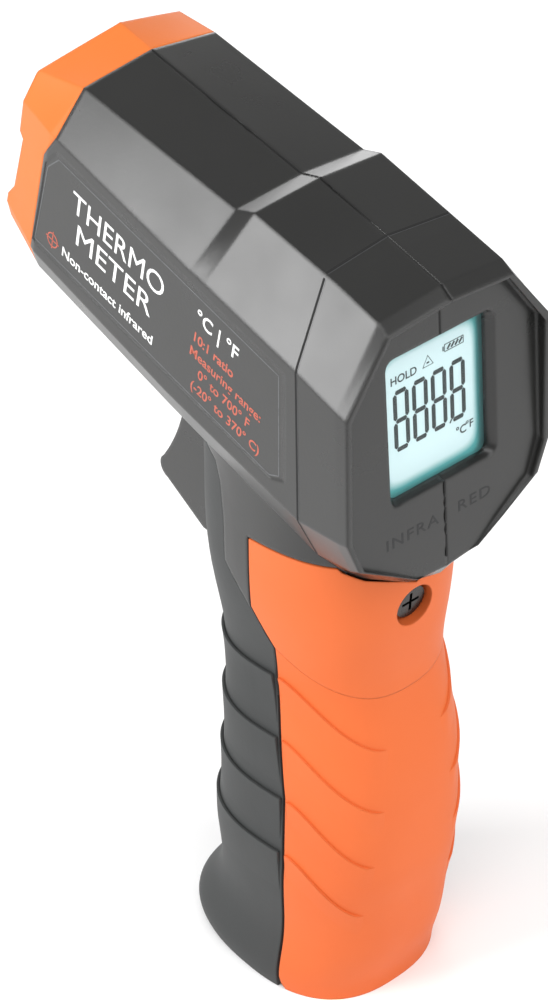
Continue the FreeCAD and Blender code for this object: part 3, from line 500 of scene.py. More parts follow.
def add_input(tree, name, kind, value):
    """A named input of a node tree with its default."""
    socket = tree.interface.new_socket(name, in_out="INPUT", socket_type=kind)
    if value is not None:
        socket.default_value = value
    return socket


BAND_POINTS_ROUND = 150
BAND_POINTS_DOWN = 12
RAY_REACH = 90 * MM                     # rays start this far out from the handle's middle
THINNING = 1.4                          # power by which a band's thickness falls off below its lip
FEATHER_SUNK = 0.04 * MM
BAND_BODY = 0.5 * MM


def shingle_tree():
    """Lapped bands round a handle: each starts with a lip and thins out downwards onto the shell.

    Angles run about an upright line that follows the seam between grip and door, so that 90 degrees is
    the seam at every height.
    """
    tree = bpy.data.node_groups.new("Lapped grip bands", "GeometryNodeTree")
    tree.interface.new_socket("Geometry", in_out="OUTPUT", socket_type="NodeSocketGeometry")
    add_input(tree, "Shell", "NodeSocketObject", None)
    add_input(tree, "Bands", "NodeSocketInt", 4)
    add_input(tree, "Top Height", "NodeSocketFloat", 0.0636)
    add_input(tree, "Spacing", "NodeSocketFloat", 0.011)
    add_input(tree, "Band Height", "NodeSocketFloat", 0.008)
    add_input(tree, "Lip", "NodeSocketFloat", 0.0005)
    add_input(tree, "From Angle", "NodeSocketFloat", -1.7)
    add_input(tree, "To Angle", "NodeSocketFloat", 1.7)
    add_input(tree, "Sag", "NodeSocketFloat", 0.002)
    add_input(tree, "Angle Step", "NodeSocketFloat", 0.0)
    add_input(tree, "Fall", "NodeSocketFloat", 0.0)
    add_input(tree, "Fade From", "NodeSocketFloat", 1.0)
    add_input(tree, "Seam X Low", "NodeSocketFloat", -0.0087)
    add_input(tree, "Seam X High", "NodeSocketFloat", -0.0053)
    add_input(tree, "Seam Low", "NodeSocketFloat", 0.042)
    add_input(tree, "Seam High", "NodeSocketFloat", 0.063)
    add_input(tree, "Material", "NodeSocketMaterial", None)
    nodes, links = tree.nodes, tree.links
    inputs = nodes.new("NodeGroupInput")
    inputs.label, inputs.location = "Grip inputs", (-1600, 0)
    output = nodes.new("NodeGroupOutput")
    output.label, output.location = "Finished bands", (1900, 0)
    patch = nodes.new("GeometryNodeMeshGrid")
    patch.label = "One band, flat"
    patch.inputs["Size X"].default_value = 1
    patch.inputs["Size Y"].default_value = 1
    patch.inputs["Vertices X"].default_value = BAND_POINTS_ROUND
    patch.inputs["Vertices Y"].default_value = BAND_POINTS_DOWN
    here = nodes.new("GeometryNodeInputPosition")
    here.label = "Place on the flat band"
    store = nodes.new("GeometryNodeStoreNamedAttribute")
    store.label = "Remember place on the band"
    store.data_type = "FLOAT_VECTOR"
    store.inputs["Name"].default_value = "band_place"
    as_instance = nodes.new("GeometryNodeGeometryToInstance")
    as_instance.label = "Band as one instance"
    copies = nodes.new("GeometryNodeDuplicateElements")
    copies.label = "One band per ridge"
    copies.domain = "INSTANCE"
    number = nodes.new("GeometryNodeStoreNamedAttribute")
    number.label = "Number each band"
    number.data_type = "INT"
    number.domain = "INSTANCE"
    number.inputs["Name"].default_value = "band_number"
    loose = nodes.new("GeometryNodeRealizeInstances")
    loose.label = "Bands as mesh"
    read_place = nodes.new("GeometryNodeInputNamedAttribute")
    read_place.label = "Place on the band"
    read_place.data_type = "FLOAT_VECTOR"
    read_place.inputs["Name"].default_value = "band_place"
    read_number = nodes.new("GeometryNodeInputNamedAttribute")
    read_number.label = "Band number"
    read_number.data_type = "INT"
    read_number.inputs["Name"].default_value = "band_number"
    split = nodes.new("ShaderNodeSeparateXYZ")
    split.label = "Round and down the band"
    along = nodes.new("ShaderNodeMath")
    along.label, along.operation = "Share along the band", "ADD"
    along.inputs[1].default_value = 0.5
    shorter = nodes.new("ShaderNodeMath")
    shorter.label, shorter.operation = "Where this band ends", "MULTIPLY_ADD"
    angle = nodes.new("ShaderNodeMapRange")
    angle.label = "Angle round the handle"
    fall = nodes.new("ShaderNodeMapRange")
    fall.label, fall.interpolation_type = "Fall along the band", "SMOOTHSTEP"
    fade = nodes.new("ShaderNodeMapRange")
    fade.label, fade.interpolation_type = "Lip dies out at the end", "SMOOTHSTEP"
    fade.inputs["From Max"].default_value = 1.001
    fade.inputs["To Min"].default_value = 1
    fade.inputs["To Max"].default_value = 0
    seam = nodes.new("ShaderNodeMapRange")
    seam.label = "Seam line at this height"
    cosine = nodes.new("ShaderNodeMath")
    cosine.label, cosine.operation = "Cosine of the angle", "COSINE"
    sine = nodes.new("ShaderNodeMath")
    sine.label, sine.operation = "Sine of the angle", "SINE"
    drop = nodes.new("ShaderNodeMath")
    drop.label, drop.operation = "Drop of this band", "MULTIPLY"
    start = nodes.new("ShaderNodeMath")
    start.label, start.operation = "Lip height of this band", "SUBTRACT"
    down = nodes.new("ShaderNodeMath")
    down.label, down.operation = "Share of the band above here", "SUBTRACT"
    down.inputs[0].default_value = 0.5
    below = nodes.new("ShaderNodeMath")
    below.label, below.operation = "Distance below the lip", "MULTIPLY"
    height = nodes.new("ShaderNodeMath")
    height.label, height.operation = "Height before the sag", "SUBTRACT"
    front = nodes.new("ShaderNodeMath")
    front.label, front.operation = "Facing forward", "MAXIMUM"
    front.inputs[1].default_value = 0
    sag = nodes.new("ShaderNodeMath")
    sag.label, sag.operation = "Sag towards the front", "MULTIPLY"
    level = nodes.new("ShaderNodeMath")
    level.label, level.operation = "Height less the sag", "SUBTRACT"
    fallen = nodes.new("ShaderNodeMath")
    fallen.label, fallen.operation = "Height on the handle", "SUBTRACT"
    outwards = nodes.new("ShaderNodeCombineXYZ")
    outwards.label = "Outward direction"
    foot = nodes.new("ShaderNodeCombineXYZ")
    foot.label = "Point on the handle's axis"
    far = nodes.new("ShaderNodeVectorMath")
    far.label, far.operation = "Far outside", "MULTIPLY_ADD"
    far.inputs[1].default_value = (RAY_REACH,) * 3
    inwards = nodes.new("ShaderNodeVectorMath")
    inwards.label, inwards.operation = "Look back in", "SCALE"
    inwards.inputs["Scale"].default_value = -1
    shell = nodes.new("GeometryNodeObjectInfo")
    shell.label = "Shell to lie on"
    ray = nodes.new("GeometryNodeRaycast")
    ray.label = "Point on the shell"
    ray.inputs["Ray Length"].default_value = RAY_REACH
    taper = nodes.new("ShaderNodeMath")
    taper.label, taper.operation = "Thin out downwards", "POWER"
    taper.inputs[1].default_value = THINNING
    proud = nodes.new("ShaderNodeMath")
    proud.label, proud.operation = "How proud", "MULTIPLY"
    lip_here = nodes.new("ShaderNodeMath")
    lip_here.label, lip_here.operation = "Lip left at this angle", "MULTIPLY"
    share = nodes.new("ShaderNodeMath")
    share.label, share.operation = "Share of the band left", "ADD"
    share.inputs[1].default_value = 0.5
    sunk = nodes.new("ShaderNodeMath")
    sunk.label, sunk.operation = "Feather edge just under the shell", "SUBTRACT"
    sunk.inputs[1].default_value = FEATHER_SUNK
    lift = nodes.new("ShaderNodeVectorMath")
    lift.label, lift.operation = "Lift off the shell", "SCALE"
    raised = nodes.new("ShaderNodeVectorMath")
    raised.label, raised.operation = "Raised place", "ADD"
    place_it = nodes.new("GeometryNodeSetPosition")
    place_it.label = "Lay the bands on the shell"
    thick = nodes.new("GeometryNodeExtrudeMesh")
    thick.label = "Give the bands a body"
    thick.inputs["Offset Scale"].default_value = BAND_BODY
    thick.inputs["Individual"].default_value = False
    both = nodes.new("GeometryNodeJoinGeometry")
    both.label = "Outer and inner faces"
    turned = nodes.new("GeometryNodeFlipFaces")
    turned.label = "Turn the inner faces"
    join_up = nodes.new("GeometryNodeMergeByDistance")
    join_up.label = "Close the edges"
    join_up.inputs["Distance"].default_value = SHELL_WELD
    realize = nodes.new("GeometryNodeRealizeInstances")
    realize.label = "Plain mesh"
    coat = nodes.new("GeometryNodeSetMaterial")
    coat.label = "Grip material"
    for number_here, node in enumerate(n for n in nodes if n not in (inputs, output)):
        node.location = (-1350 + 200 * (number_here // 4), 300 - 220 * (number_here % 4))
    links.new(patch.outputs["Mesh"], store.inputs["Geometry"])
    links.new(here.outputs["Position"], store.inputs["Value"])
    links.new(store.outputs["Geometry"], as_instance.inputs["Geometry"])
    links.new(as_instance.outputs["Instances"], copies.inputs["Geometry"])
    links.new(inputs.outputs["Bands"], copies.inputs["Amount"])
    links.new(copies.outputs["Geometry"], number.inputs["Geometry"])
    links.new(copies.outputs["Duplicate Index"], number.inputs["Value"])
    links.new(number.outputs["Geometry"], loose.inputs["Geometry"])
    links.new(read_place.outputs["Attribute"], split.inputs["Vector"])
    links.new(split.outputs["X"], along.inputs[0])
    links.new(along.outputs["Value"], angle.inputs["Value"])
    links.new(inputs.outputs["From Angle"], angle.inputs["To Min"])
    links.new(read_number.outputs["Attribute"], shorter.inputs[0])
    links.new(inputs.outputs["Angle Step"], shorter.inputs[1])
    links.new(inputs.outputs["To Angle"], shorter.inputs[2])
    links.new(shorter.outputs["Value"], angle.inputs["To Max"])
    links.new(along.outputs["Value"], fall.inputs["Value"])
    links.new(inputs.outputs["Fall"], fall.inputs["To Max"])
    links.new(along.outputs["Value"], fade.inputs["Value"])
    links.new(inputs.outputs["Fade From"], fade.inputs["From Min"])
    links.new(angle.outputs["Result"], cosine.inputs[0])
    links.new(angle.outputs["Result"], sine.inputs[0])
    links.new(read_number.outputs["Attribute"], drop.inputs[0])
    links.new(inputs.outputs["Spacing"], drop.inputs[1])
    links.new(inputs.outputs["Top Height"], start.inputs[0])
    links.new(drop.outputs["Value"], start.inputs[1])
    links.new(split.outputs["Y"], down.inputs[1])
    links.new(down.outputs["Value"], below.inputs[0])
    links.new(inputs.outputs["Band Height"], below.inputs[1])
    links.new(start.outputs["Value"], height.inputs[0])
    links.new(below.outputs["Value"], height.inputs[1])
    links.new(cosine.outputs["Value"], front.inputs[0])
    links.new(front.outputs["Value"], sag.inputs[0])
    links.new(inputs.outputs["Sag"], sag.inputs[1])
    links.new(height.outputs["Value"], level.inputs[0])
    links.new(sag.outputs["Value"], level.inputs[1])
    links.new(cosine.outputs["Value"], outwards.inputs["X"])
    links.new(sine.outputs["Value"], outwards.inputs["Y"])
    links.new(level.outputs["Value"], fallen.inputs[0])
    links.new(fall.outputs["Result"], fallen.inputs[1])
    links.new(fallen.outputs["Value"], seam.inputs["Value"])
    links.new(inputs.outputs["Seam Low"], seam.inputs["From Min"])
    links.new(inputs.outputs["Seam High"], seam.inputs["From Max"])
    links.new(inputs.outputs["Seam X Low"], seam.inputs["To Min"])
    links.new(inputs.outputs["Seam X High"], seam.inputs["To Max"])
    links.new(seam.outputs["Result"], foot.inputs["X"])
    links.new(fallen.outputs["Value"], foot.inputs["Z"])
    links.new(outwards.outputs["Vector"], far.inputs[0])
    links.new(foot.outputs["Vector"], far.inputs[2])
    links.new(outwards.outputs["Vector"], inwards.inputs[0])
    links.new(inputs.outputs["Shell"], shell.inputs["Object"])
    links.new(shell.outputs["Geometry"], ray.inputs["Target Geometry"])
    links.new(far.outputs["Vector"], ray.inputs["Source Position"])
    links.new(inwards.outputs["Vector"], ray.inputs["Ray Direction"])
    links.new(split.outputs["Y"], share.inputs[0])
    links.new(share.outputs["Value"], taper.inputs[0])
    links.new(inputs.outputs["Lip"], lip_here.inputs[0])
    links.new(fade.outputs["Result"], lip_here.inputs[1])
    links.new(taper.outputs["Value"], proud.inputs[0])
    links.new(lip_here.outputs["Value"], proud.inputs[1])
    links.new(proud.outputs["Value"], sunk.inputs[0])
    links.new(outwards.outputs["Vector"], lift.inputs[0])
    links.new(sunk.outputs["Value"], lift.inputs["Scale"])
    links.new(ray.outputs["Hit Position"], raised.inputs[0])
    links.new(lift.outputs["Vector"], raised.inputs[1])
    links.new(loose.outputs["Geometry"], place_it.inputs["Geometry"])
    links.new(ray.outputs["Is Hit"], place_it.inputs["Selection"])
    links.new(raised.outputs["Vector"], place_it.inputs["Position"])
    links.new(place_it.outputs["Geometry"], thick.inputs["Mesh"])
    links.new(inwards.outputs["Vector"], thick.inputs["Offset"])
    links.new(place_it.outputs["Geometry"], turned.inputs["Mesh"])
    links.new(thick.outputs["Mesh"], both.inputs["Geometry"])
    links.new(turned.outputs["Mesh"], both.inputs["Geometry"])
    links.new(both.outputs["Geometry"], join_up.inputs["Geometry"])
    links.new(join_up.outputs["Geometry"], realize.inputs["Geometry"])
    links.new(realize.outputs["Geometry"], coat.inputs["Geometry"])
    links.new(inputs.outputs["Material"], coat.inputs["Material"])
    links.new(coat.outputs["Geometry"], output.inputs["Geometry"])
    return tree


def baked(name, tree, values, material, body, smooth=None):
    """Run a node tree with named values and keep its result as a plain finished piece."""
    maker = bpy.data.objects.new(name + "_maker", bpy.data.meshes.new(name + "_maker"))
    bpy.context.scene.collection.objects.link(maker)
    modifier = maker.modifiers.new("Build", "NODES")
    modifier.node_group = tree
    identifiers = {i.name: i.identifier for i in tree.interface.items_tree if i.in_out == "INPUT"}
    for key, value in values.items():
        modifier[identifiers[key]] = value
    result = maker.evaluated_get(bpy.context.evaluated_depsgraph_get())
    mesh = bpy.data.meshes.new_from_object(result)
    mesh.name = name
    maker.modifiers.remove(modifier)
    bpy.data.objects.remove(maker)
    for attribute in [a.name for a in mesh.attributes if a.name.startswith("band_")]:
        mesh.attributes.remove(mesh.attributes[attribute])
    work = bmesh.new()
    work.from_mesh(mesh)
    bmesh.ops.recalc_face_normals(work, faces=work.faces)
    work.to_mesh(mesh)
    work.free()
    return finished(name, mesh, material, body, smooth)


GRIP_SURFACE = surface_object("grip_surface", ["front_grip"])
SKIN_SURFACE = surface_object("skin_surface", ["door_grip_skin", "battery_door"])
SHINGLES = shingle_tree()
RIDGE_TOP = 63.6 * MM
RIDGE_STEP = 10.9 * MM
SEAM_ANGLE = math.radians(90)
FIN_END_ANGLE = math.radians(159)
FIN_STEP_ANGLE = math.radians(6)        # each fin ends this much earlier than the one above it
CREASE = 32                             # degrees between faces past which an edge stays sharp
baked("grip_ridges", SHINGLES, {
    "Shell": GRIP_SURFACE, "Bands": 4, "Top Height": RIDGE_TOP, "Spacing": RIDGE_STEP,
    "Band Height": 9.8 * MM, "Lip": 0.6 * MM, "From Angle": -SEAM_ANGLE, "To Angle": SEAM_ANGLE,
    "Sag": 2.0 * MM, "Seam X Low": -8.3 * MM, "Seam X High": -5.0 * MM, "Material": MATERIALS["grip_rubber"],
}, MATERIALS["grip_rubber"], "housing", CREASE)
for side, name in ((1, "left_fins"), (-1, "right_fins")):
    baked(name, SHINGLES, {
        "Shell": SKIN_SURFACE, "Bands": 4, "Top Height": RIDGE_TOP, "Spacing": RIDGE_STEP,
        "Band Height": 6.0 * MM, "Lip": 0.42 * MM, "From Angle": side * SEAM_ANGLE,
        "To Angle": side * FIN_END_ANGLE, "Angle Step": -side * FIN_STEP_ANGLE, "Fall": 9.8 * MM,
        "Sag": 0.0, "Fade From": 0.86,
        "Seam X Low": -9.5 * MM, "Seam X High": -6.1 * MM, "Material": MATERIALS["orange_rubber"],
    }, MATERIALS["orange_rubber"], "battery_door", CREASE)
for holder in (GRIP_SURFACE, SKIN_SURFACE):
    bpy.data.objects.remove(holder)


# ---------------------------------------------------------------- seams and the cosmetic groove
def line_on_shell(name, stops, width, lift, material, body, steps=14):
    """A fine closed strip along straight runs between stops, laid on the CAD shells."""
    path = []
    for start, end in zip(stops, stops[1:]):
        path += [start.lerp(end, k / steps) for k in range(steps)]
    path.append(stops[-1])
    laid = [SHELLS.find_nearest(p)[:2] for p in path]
    points, faces = [], []
    for number, (place, normal) in enumerate(laid):
        before = laid[max(number - 1, 0)][0]
        after = laid[min(number + 1, len(laid) - 1)][0]
        across = normal.cross(after - before).normalized() * width / 2
        up = normal * lift
        down = -normal * width
        points += [place - across + up, place + across + up, place + across + down, place - across + down]
        if number:
            a, b = 4 * number - 4, 4 * number
            faces += [(a + k, a + (k + 1) % 4, b + (k + 1) % 4, b + k) for k in range(4)]
    last = len(points) - 4
    faces += [(0, 1, 2, 3), (last, last + 1, last + 2, last + 3)]
    return finished(name, mesh_from(name, points, faces), material, body)


PROUD = 0.02 * MM
GROOVE = [(-48.4, 0, 12.75), (-49.0, 11.0, 11.9), (-54.4, 19.0, 2.2), (-61.1, 19.0, -21.0),
          (-63.2, 15.6, -28.2), (-65.4, 9.0, -35.6), (-67.2, 0, -41.5)]
GROOVE_WIDTH = 0.34 * MM
LIP_BEHIND = 0.3                        # the painted highlight for the groove's lit lip runs this far behind it, in millimetres
LIP_WIDTH = 0.1 * MM
# The groove is a strip of painted shade, with a strip of painted highlight along its lit lip behind it.
for side, name in ((1, "left_groove"), (-1, "right_groove")):
    for piece, behind, width, ink in ((name, 0, GROOVE_WIDTH, SEAM_SHADE),
                                      (name + "_lip", LIP_BEHIND, LIP_WIDTH, PAINTED_LIP_HIGHLIGHT)):
        stops = [in_barrel(x - behind, side * y, z) for x, y, z in GROOVE]
        line_on_shell(piece, stops, width, PROUD, ink, "housing")
TOP_SEAM = [(0.2, 0, 7.6), (-31.8, 0, 10.1), (-35.0, 0, 12.0), (-55.0, 0, 12.7), (-62.6, 0, 12.9)]
TOP_SEAM_WIDTH = 0.16 * MM
PANEL_SEAM_WIDTH = 0.26 * MM
PANEL_START = 0.4                       # these four are down the panel, in millimetres
OPENING_TOP = 4.76
OPENING_LOW = 28.16
PANEL_END = 40.6
for name, stops, width in (
        ("top_seam", [in_barrel(*p) for p in TOP_SEAM], TOP_SEAM_WIDTH),
        ("panel_seam_upper", [on_panel(PANEL_START, 0), on_panel(OPENING_TOP, 0)], PANEL_SEAM_WIDTH),
        ("panel_seam_lower", [on_panel(OPENING_LOW, 0), on_panel(PANEL_END, 0)], PANEL_SEAM_WIDTH)):
    line_on_shell(name, stops, width, PROUD, SEAM_SHADE, "housing")


# ---------------------------------------------------------------- printing
INK_THICK = 0.02 * MM


def lettering(name, text, size, origin, across, up, material, body, weight=0.0, stretch=1.0,
              spacing=1.0, thick=INK_THICK, sink=0.0, centred=False):
    """Flat letters as a mesh: across and up are the line's directions, origin its lower left corner."""
    curve = bpy.data.curves.new(name, "FONT")
    curve.body = text
    curve.size = size
    curve.offset = weight
    curve.space_character = spacing
    curve.extrude = thick / 2
    curve.align_x = "CENTER" if centred else "LEFT"
    curve.resolution_u = 4
    holder = bpy.data.objects.new(name + "_curve", curve)
    bpy.context.scene.collection.objects.link(holder)
    mesh = bpy.data.meshes.new_from_object(holder.evaluated_get(bpy.context.evaluated_depsgraph_get()))
    bpy.data.objects.remove(holder)
    mesh.name = name
    out = across.cross(up)
    turn = Matrix((across * stretch, up, out)).transposed().to_4x4()
    mesh.transform(Matrix.Translation(origin + out * (thick / 2 - sink)) @ turn)
    return finished(name, mesh, material, body)


def flat_shape(outline, origin, across, up, thick=INK_THICK):
    """Points and faces of a thin prism over an outline of (across, up) millimetres."""
    out = across.cross(up)
    low = [origin + across * a * MM + up * b * MM for a, b in outline]
    high = [p + out * thick for p in low]
    count = len(outline)
    faces = [tuple(reversed(range(count))), tuple(range(count, 2 * count))]
    faces += [(k, (k + 1) % count, count + (k + 1) % count, count + k) for k in range(count)]
    return low + high, faces


def outline_bar(a, b, wide, origin, across, up):
    """A thin bar between two (across, up) points in millimetres, square at its ends."""
    a, b = Vector(a), Vector(b)
    along = (b - a).normalized() * wide / 2
    cross = Vector((-along.y, along.x))
    return flat_shape([tuple(a - along - cross), tuple(b + along - cross), tuple(b + along + cross),
                       tuple(a - along + cross)], origin, across, up)


def closed_outline(corners, wide, origin, across, up):
    """Bars round a closed run of corners."""
    return [outline_bar(a, b, wide, origin, across, up) for a, b in zip(corners, corners[1:] + corners[:1])]


def joined_shapes(name, shapes, material, body):
    """One finished piece from several thin prisms."""
    points, faces = [], []
    for more_points, more_faces in shapes:
        start = len(points)
        points += more_points
        faces += [tuple(start + i for i in f) for f in more_faces]
    return finished(name, mesh_from(name, points, faces), material, body)


def ring_shapes(centre, radius, width, origin, across, up, sides=28):
    """A flat ring as a run of small four-cornered prisms."""
    shapes = []
    for k in range(sides):
        a, b = 2 * math.pi * k / sides, 2 * math.pi * (k + 1) / sides
        corners = [(centre[0] + r * math.cos(t), centre[1] + r * math.sin(t))
                   for r, t in ((radius, a), (radius, b), (radius - width, b), (radius - width, a))]
        shapes.append(flat_shape(corners[::-1], origin, across, up))
    return shapes


def label_point(side, x, z):
    """A point on a label's face: x forward and z up in barrel axes, drawn along the label's own edges."""
    drawn_in = SIDE_TAPER * (x - SIDE_WIDEST)
    x, z = x + LABEL_REACH * drawn_in, z - LABEL_FALL * drawn_in
    y = WIDEST - SIDE_TAPER * (x - SIDE_WIDEST)
    return in_barrel(x, side * y, z)


LABEL_LINES = [
    # text, start x and base z in barrel axes, letter size, weight, stretch, ink
    ("THERMO", -8.4, -6.9, 5.3, 0.0, 1.0, WHITE_INK),
    ("METER", -10.0, -12.0, 5.3, 0.0, 1.12, WHITE_INK),
    ("Non-contact infrared", -7.8, -16.3, 2.35, 0.035, 1.06, WHITE_INK),
    ("°C | °F", -35.6, -4.9, 3.3, 0.05, 1.0, WHITE_INK),
    ("10:1 ratio", -35.6, -8.4, 2.3, 0.045, 1.0, RED_INK),
    ("Measuring range:", -35.6, -11.2, 2.3, 0.03, 1.0, RED_INK),
    ("0° to 700° F", -38.0, -14.0, 2.3, 0.03, 1.0, RED_INK),
    ("(-20° to 370° C)", -37.0, -16.8, 2.3, 0.03, 1.0, RED_INK),
]
LABEL_BORDER = [(-4.5, -0.7), (-2.5, -3.6), (-1.9, -18.1), (-54.4, -18.1), (-56.1, -16.8), (-52.0, -0.7)]
BORDER_WIDE = 0.16
ICON = (-5.6, -15.4)
TARGET_RADIUS = 1.25                    # the target mark's ring, its width, and half its cross's arms
TARGET_RING = 0.2
TARGET_ARM = 1.55
TARGET_LINE = 0.09


def label_axes(side):
    """Directions along and up a label, for writing that reads the right way on that side."""
    rear = (label_point(side, -50, -18) - label_point(side, -4, -18)).normalized()
    across = rear * side
    rough_up = label_point(side, -30, 0) - label_point(side, -30, -18)
    out = across.cross(rough_up).normalized()
    return across, out.cross(across).normalized()


def label_print(side, word):
    """All the printing on one side's label; side is +1 left, -1 right."""
    across, up = label_axes(side)
    last_x = LABEL_BORDER[3][0] + LABEL_BORDER[2][0]
    for number, (text, x, z, size, weight, stretch, ink) in enumerate(LABEL_LINES):
        origin = label_point(side, x if side > 0 else last_x - x, z)
        lettering("%s_label_line_%d" % (word, number), text, size * MM, origin, across, up, ink, "housing",
                  weight * MM, stretch)
    corner = label_point(side, 0, 0)
    offsets = [(label_point(side, x, z) - corner) / MM for x, z in LABEL_BORDER]
    corners = [(offset.dot(across), offset.dot(up)) for offset in offsets]
    shapes = closed_outline(corners, BORDER_WIDE, corner, across, up)
    joined_shapes(word + "_label_border", shapes, BORDER_INK, "housing")
    spot = label_point(side, ICON[0] if side > 0 else last_x - ICON[0], ICON[1])
    shapes = ring_shapes((0, 0), TARGET_RADIUS, TARGET_RING, spot, across, up)
    for half_a, half_b in ((TARGET_ARM, TARGET_LINE), (TARGET_LINE, TARGET_ARM)):
        shapes.append(flat_shape([(i * half_a, j * half_b) for i, j in ((-1, -1), (1, -1), (1, 1), (-1, 1))],
                                 spot, across, up))
    joined_shapes(word + "_label_target", shapes, RED_INK, "housing")


label_print(1, "left")
label_print(-1, "right")
PANEL_RIGHT = -LEFT
PANEL_UP = (PANEL.to_3x3() @ Vector((1, 0, 0))).normalized()
PANEL_WORDS_DOWN = 34.4                 # down the panel, in millimetres, to the base of its words
PANEL_WORD_SIZE = 2.5 * MM
# The panel's debossed words are flat letters in painted shade.
for word, left in (("INFRA", 6.3), ("RED", -5.4)):
    lettering("panel_letters_" + word.lower(), word, PANEL_WORD_SIZE, on_panel(PANEL_WORDS_DOWN, left),
              PANEL_RIGHT, PANEL_UP, LETTER_SHADE, "housing",
              weight=0.02 * MM, stretch=1.25, spacing=1.2, centred=True)


# ---------------------------------------------------------------- what the display shows
def segment_mesh(long, wide, thick):
    """One pointed display segment along X."""
    tip, shoulder, half = long / 2, (long - wide) / 2, wide / 2
    outline = [(-tip, 0), (-shoulder, -half), (shoulder, -half), (tip, 0), (shoulder, half),
               (-shoulder, half)]
    points, faces = flat_shape([(a / MM, b / MM) for a, b in outline], Vector(), Vector((1, 0, 0)),
                               Vector((0, 1, 0)), thick)
    return mesh_from("segment", points, faces)


def digit_tree():
    """Seven-segment figures in a row: one segment on each point of the layout, then one figure per place."""
    tree = bpy.data.node_groups.new("Seven-segment figures", "GeometryNodeTree")
    tree.interface.new_socket("Geometry", in_out="OUTPUT", socket_type="NodeSocketGeometry")
    add_input(tree, "Layout", "NodeSocketObject", None)
    add_input(tree, "Segment", "NodeSocketObject", None)
    add_input(tree, "Figures", "NodeSocketInt", 4)
    add_input(tree, "Pitch", "NodeSocketFloat", 0.00346)
    add_input(tree, "Material", "NodeSocketMaterial", None)
    nodes, links = tree.nodes, tree.links
    inputs = nodes.new("NodeGroupInput")
    inputs.label, inputs.location = "Display inputs", (-700, 0)
    output = nodes.new("NodeGroupOutput")
    output.label, output.location = "Finished figures", (900, 0)
    layout = nodes.new("GeometryNodeObjectInfo")
    layout.label, layout.location = "Where segments sit", (-450, 300)
    segment = nodes.new("GeometryNodeObjectInfo")
    segment.label, segment.location = "Segment shape", (-450, 0)
    turn = nodes.new("GeometryNodeInputNamedAttribute")
    turn.label, turn.location, turn.data_type = "Turn of each segment", (-450, -300), "FLOAT_VECTOR"
    turn.inputs["Name"].default_value = "turn"
    size = nodes.new("GeometryNodeInputNamedAttribute")
    size.label, size.location, size.data_type = "Stretch of each segment", (-450, -500), "FLOAT_VECTOR"
    size.inputs["Name"].default_value = "size"
    figure = nodes.new("GeometryNodeInstanceOnPoints")
    figure.label, figure.location = "One figure", (-150, 200)
    step = nodes.new("ShaderNodeCombineXYZ")
    step.label, step.location = "Step to the next figure", (-150, -200)
    row = nodes.new("GeometryNodeMeshLine")
    row.label, row.location = "Places in the row", (100, -200)
    places = nodes.new("GeometryNodeInstanceOnPoints")
    places.label, places.location = "All figures", (300, 100)
    realize = nodes.new("GeometryNodeRealizeInstances")
    realize.label, realize.location = "Plain mesh", (500, 100)
    ink = nodes.new("GeometryNodeSetMaterial")
    ink.label, ink.location = "Segment ink", (700, 100)
    links.new(inputs.outputs["Layout"], layout.inputs["Object"])
    links.new(inputs.outputs["Segment"], segment.inputs["Object"])
    links.new(layout.outputs["Geometry"], figure.inputs["Points"])
    links.new(segment.outputs["Geometry"], figure.inputs["Instance"])
    links.new(turn.outputs["Attribute"], figure.inputs["Rotation"])
    links.new(size.outputs["Attribute"], figure.inputs["Scale"])
    links.new(inputs.outputs["Pitch"], step.inputs["X"])
    links.new(step.outputs["Vector"], row.inputs["Offset"])
    links.new(inputs.outputs["Figures"], row.inputs["Count"])
    links.new(row.outputs["Mesh"], places.inputs["Points"])
    links.new(figure.outputs["Instances"], places.inputs["Instance"])
    links.new(places.outputs["Instances"], realize.inputs["Geometry"])
    links.new(realize.outputs["Geometry"], ink.inputs["Geometry"])
    links.new(inputs.outputs["Material"], ink.inputs["Material"])
    links.new(ink.outputs["Geometry"], output.inputs["Geometry"])
    return tree


FIGURE_TALL = 9.0 * MM
FIGURE_WIDE = 2.15 * MM
FIGURE_PITCH = 3.46 * MM
SEGMENT_WIDE = 0.72 * MM
UPRIGHT_LONG = FIGURE_TALL / 2 - 0.35 * MM
LEVEL_LONG = FIGURE_WIDE - 0.12 * MM
QUARTER = math.pi / 2
SEGMENT_PLACES = [
    # across, up, turn, length
    (0.0, 0.5, 0.0, LEVEL_LONG), (0.0, 0.0, 0.0, LEVEL_LONG), (0.0, -0.5, 0.0, LEVEL_LONG),
    (-0.5, 0.25, QUARTER, UPRIGHT_LONG), (0.5, 0.25, QUARTER, UPRIGHT_LONG),
    (-0.5, -0.25, QUARTER, UPRIGHT_LONG), (0.5, -0.25, QUARTER, UPRIGHT_LONG),
]
PRINT_LIFT = 0.02 * MM
LCD_INK = 0.015 * MM                    # thickness of the display's print
LCD_OUT = -(2.65 * MM)                  # the display's face, below the panel's face
FIRST_FIGURE = (15.8, 6.1)              # down and left of the panel's upper end, in millimetres
LCD_SHIFT = (0.95, -0.86)               # down and left, from window coordinates to the deeper face


def lcd_point(down, left):
    """A point on the display's face, from window coordinates."""
    down, left = down + LCD_SHIFT[0], left + LCD_SHIFT[1]
    return PANEL @ Vector((-down * MM, left * MM, LCD_OUT + PRINT_LIFT / 2))


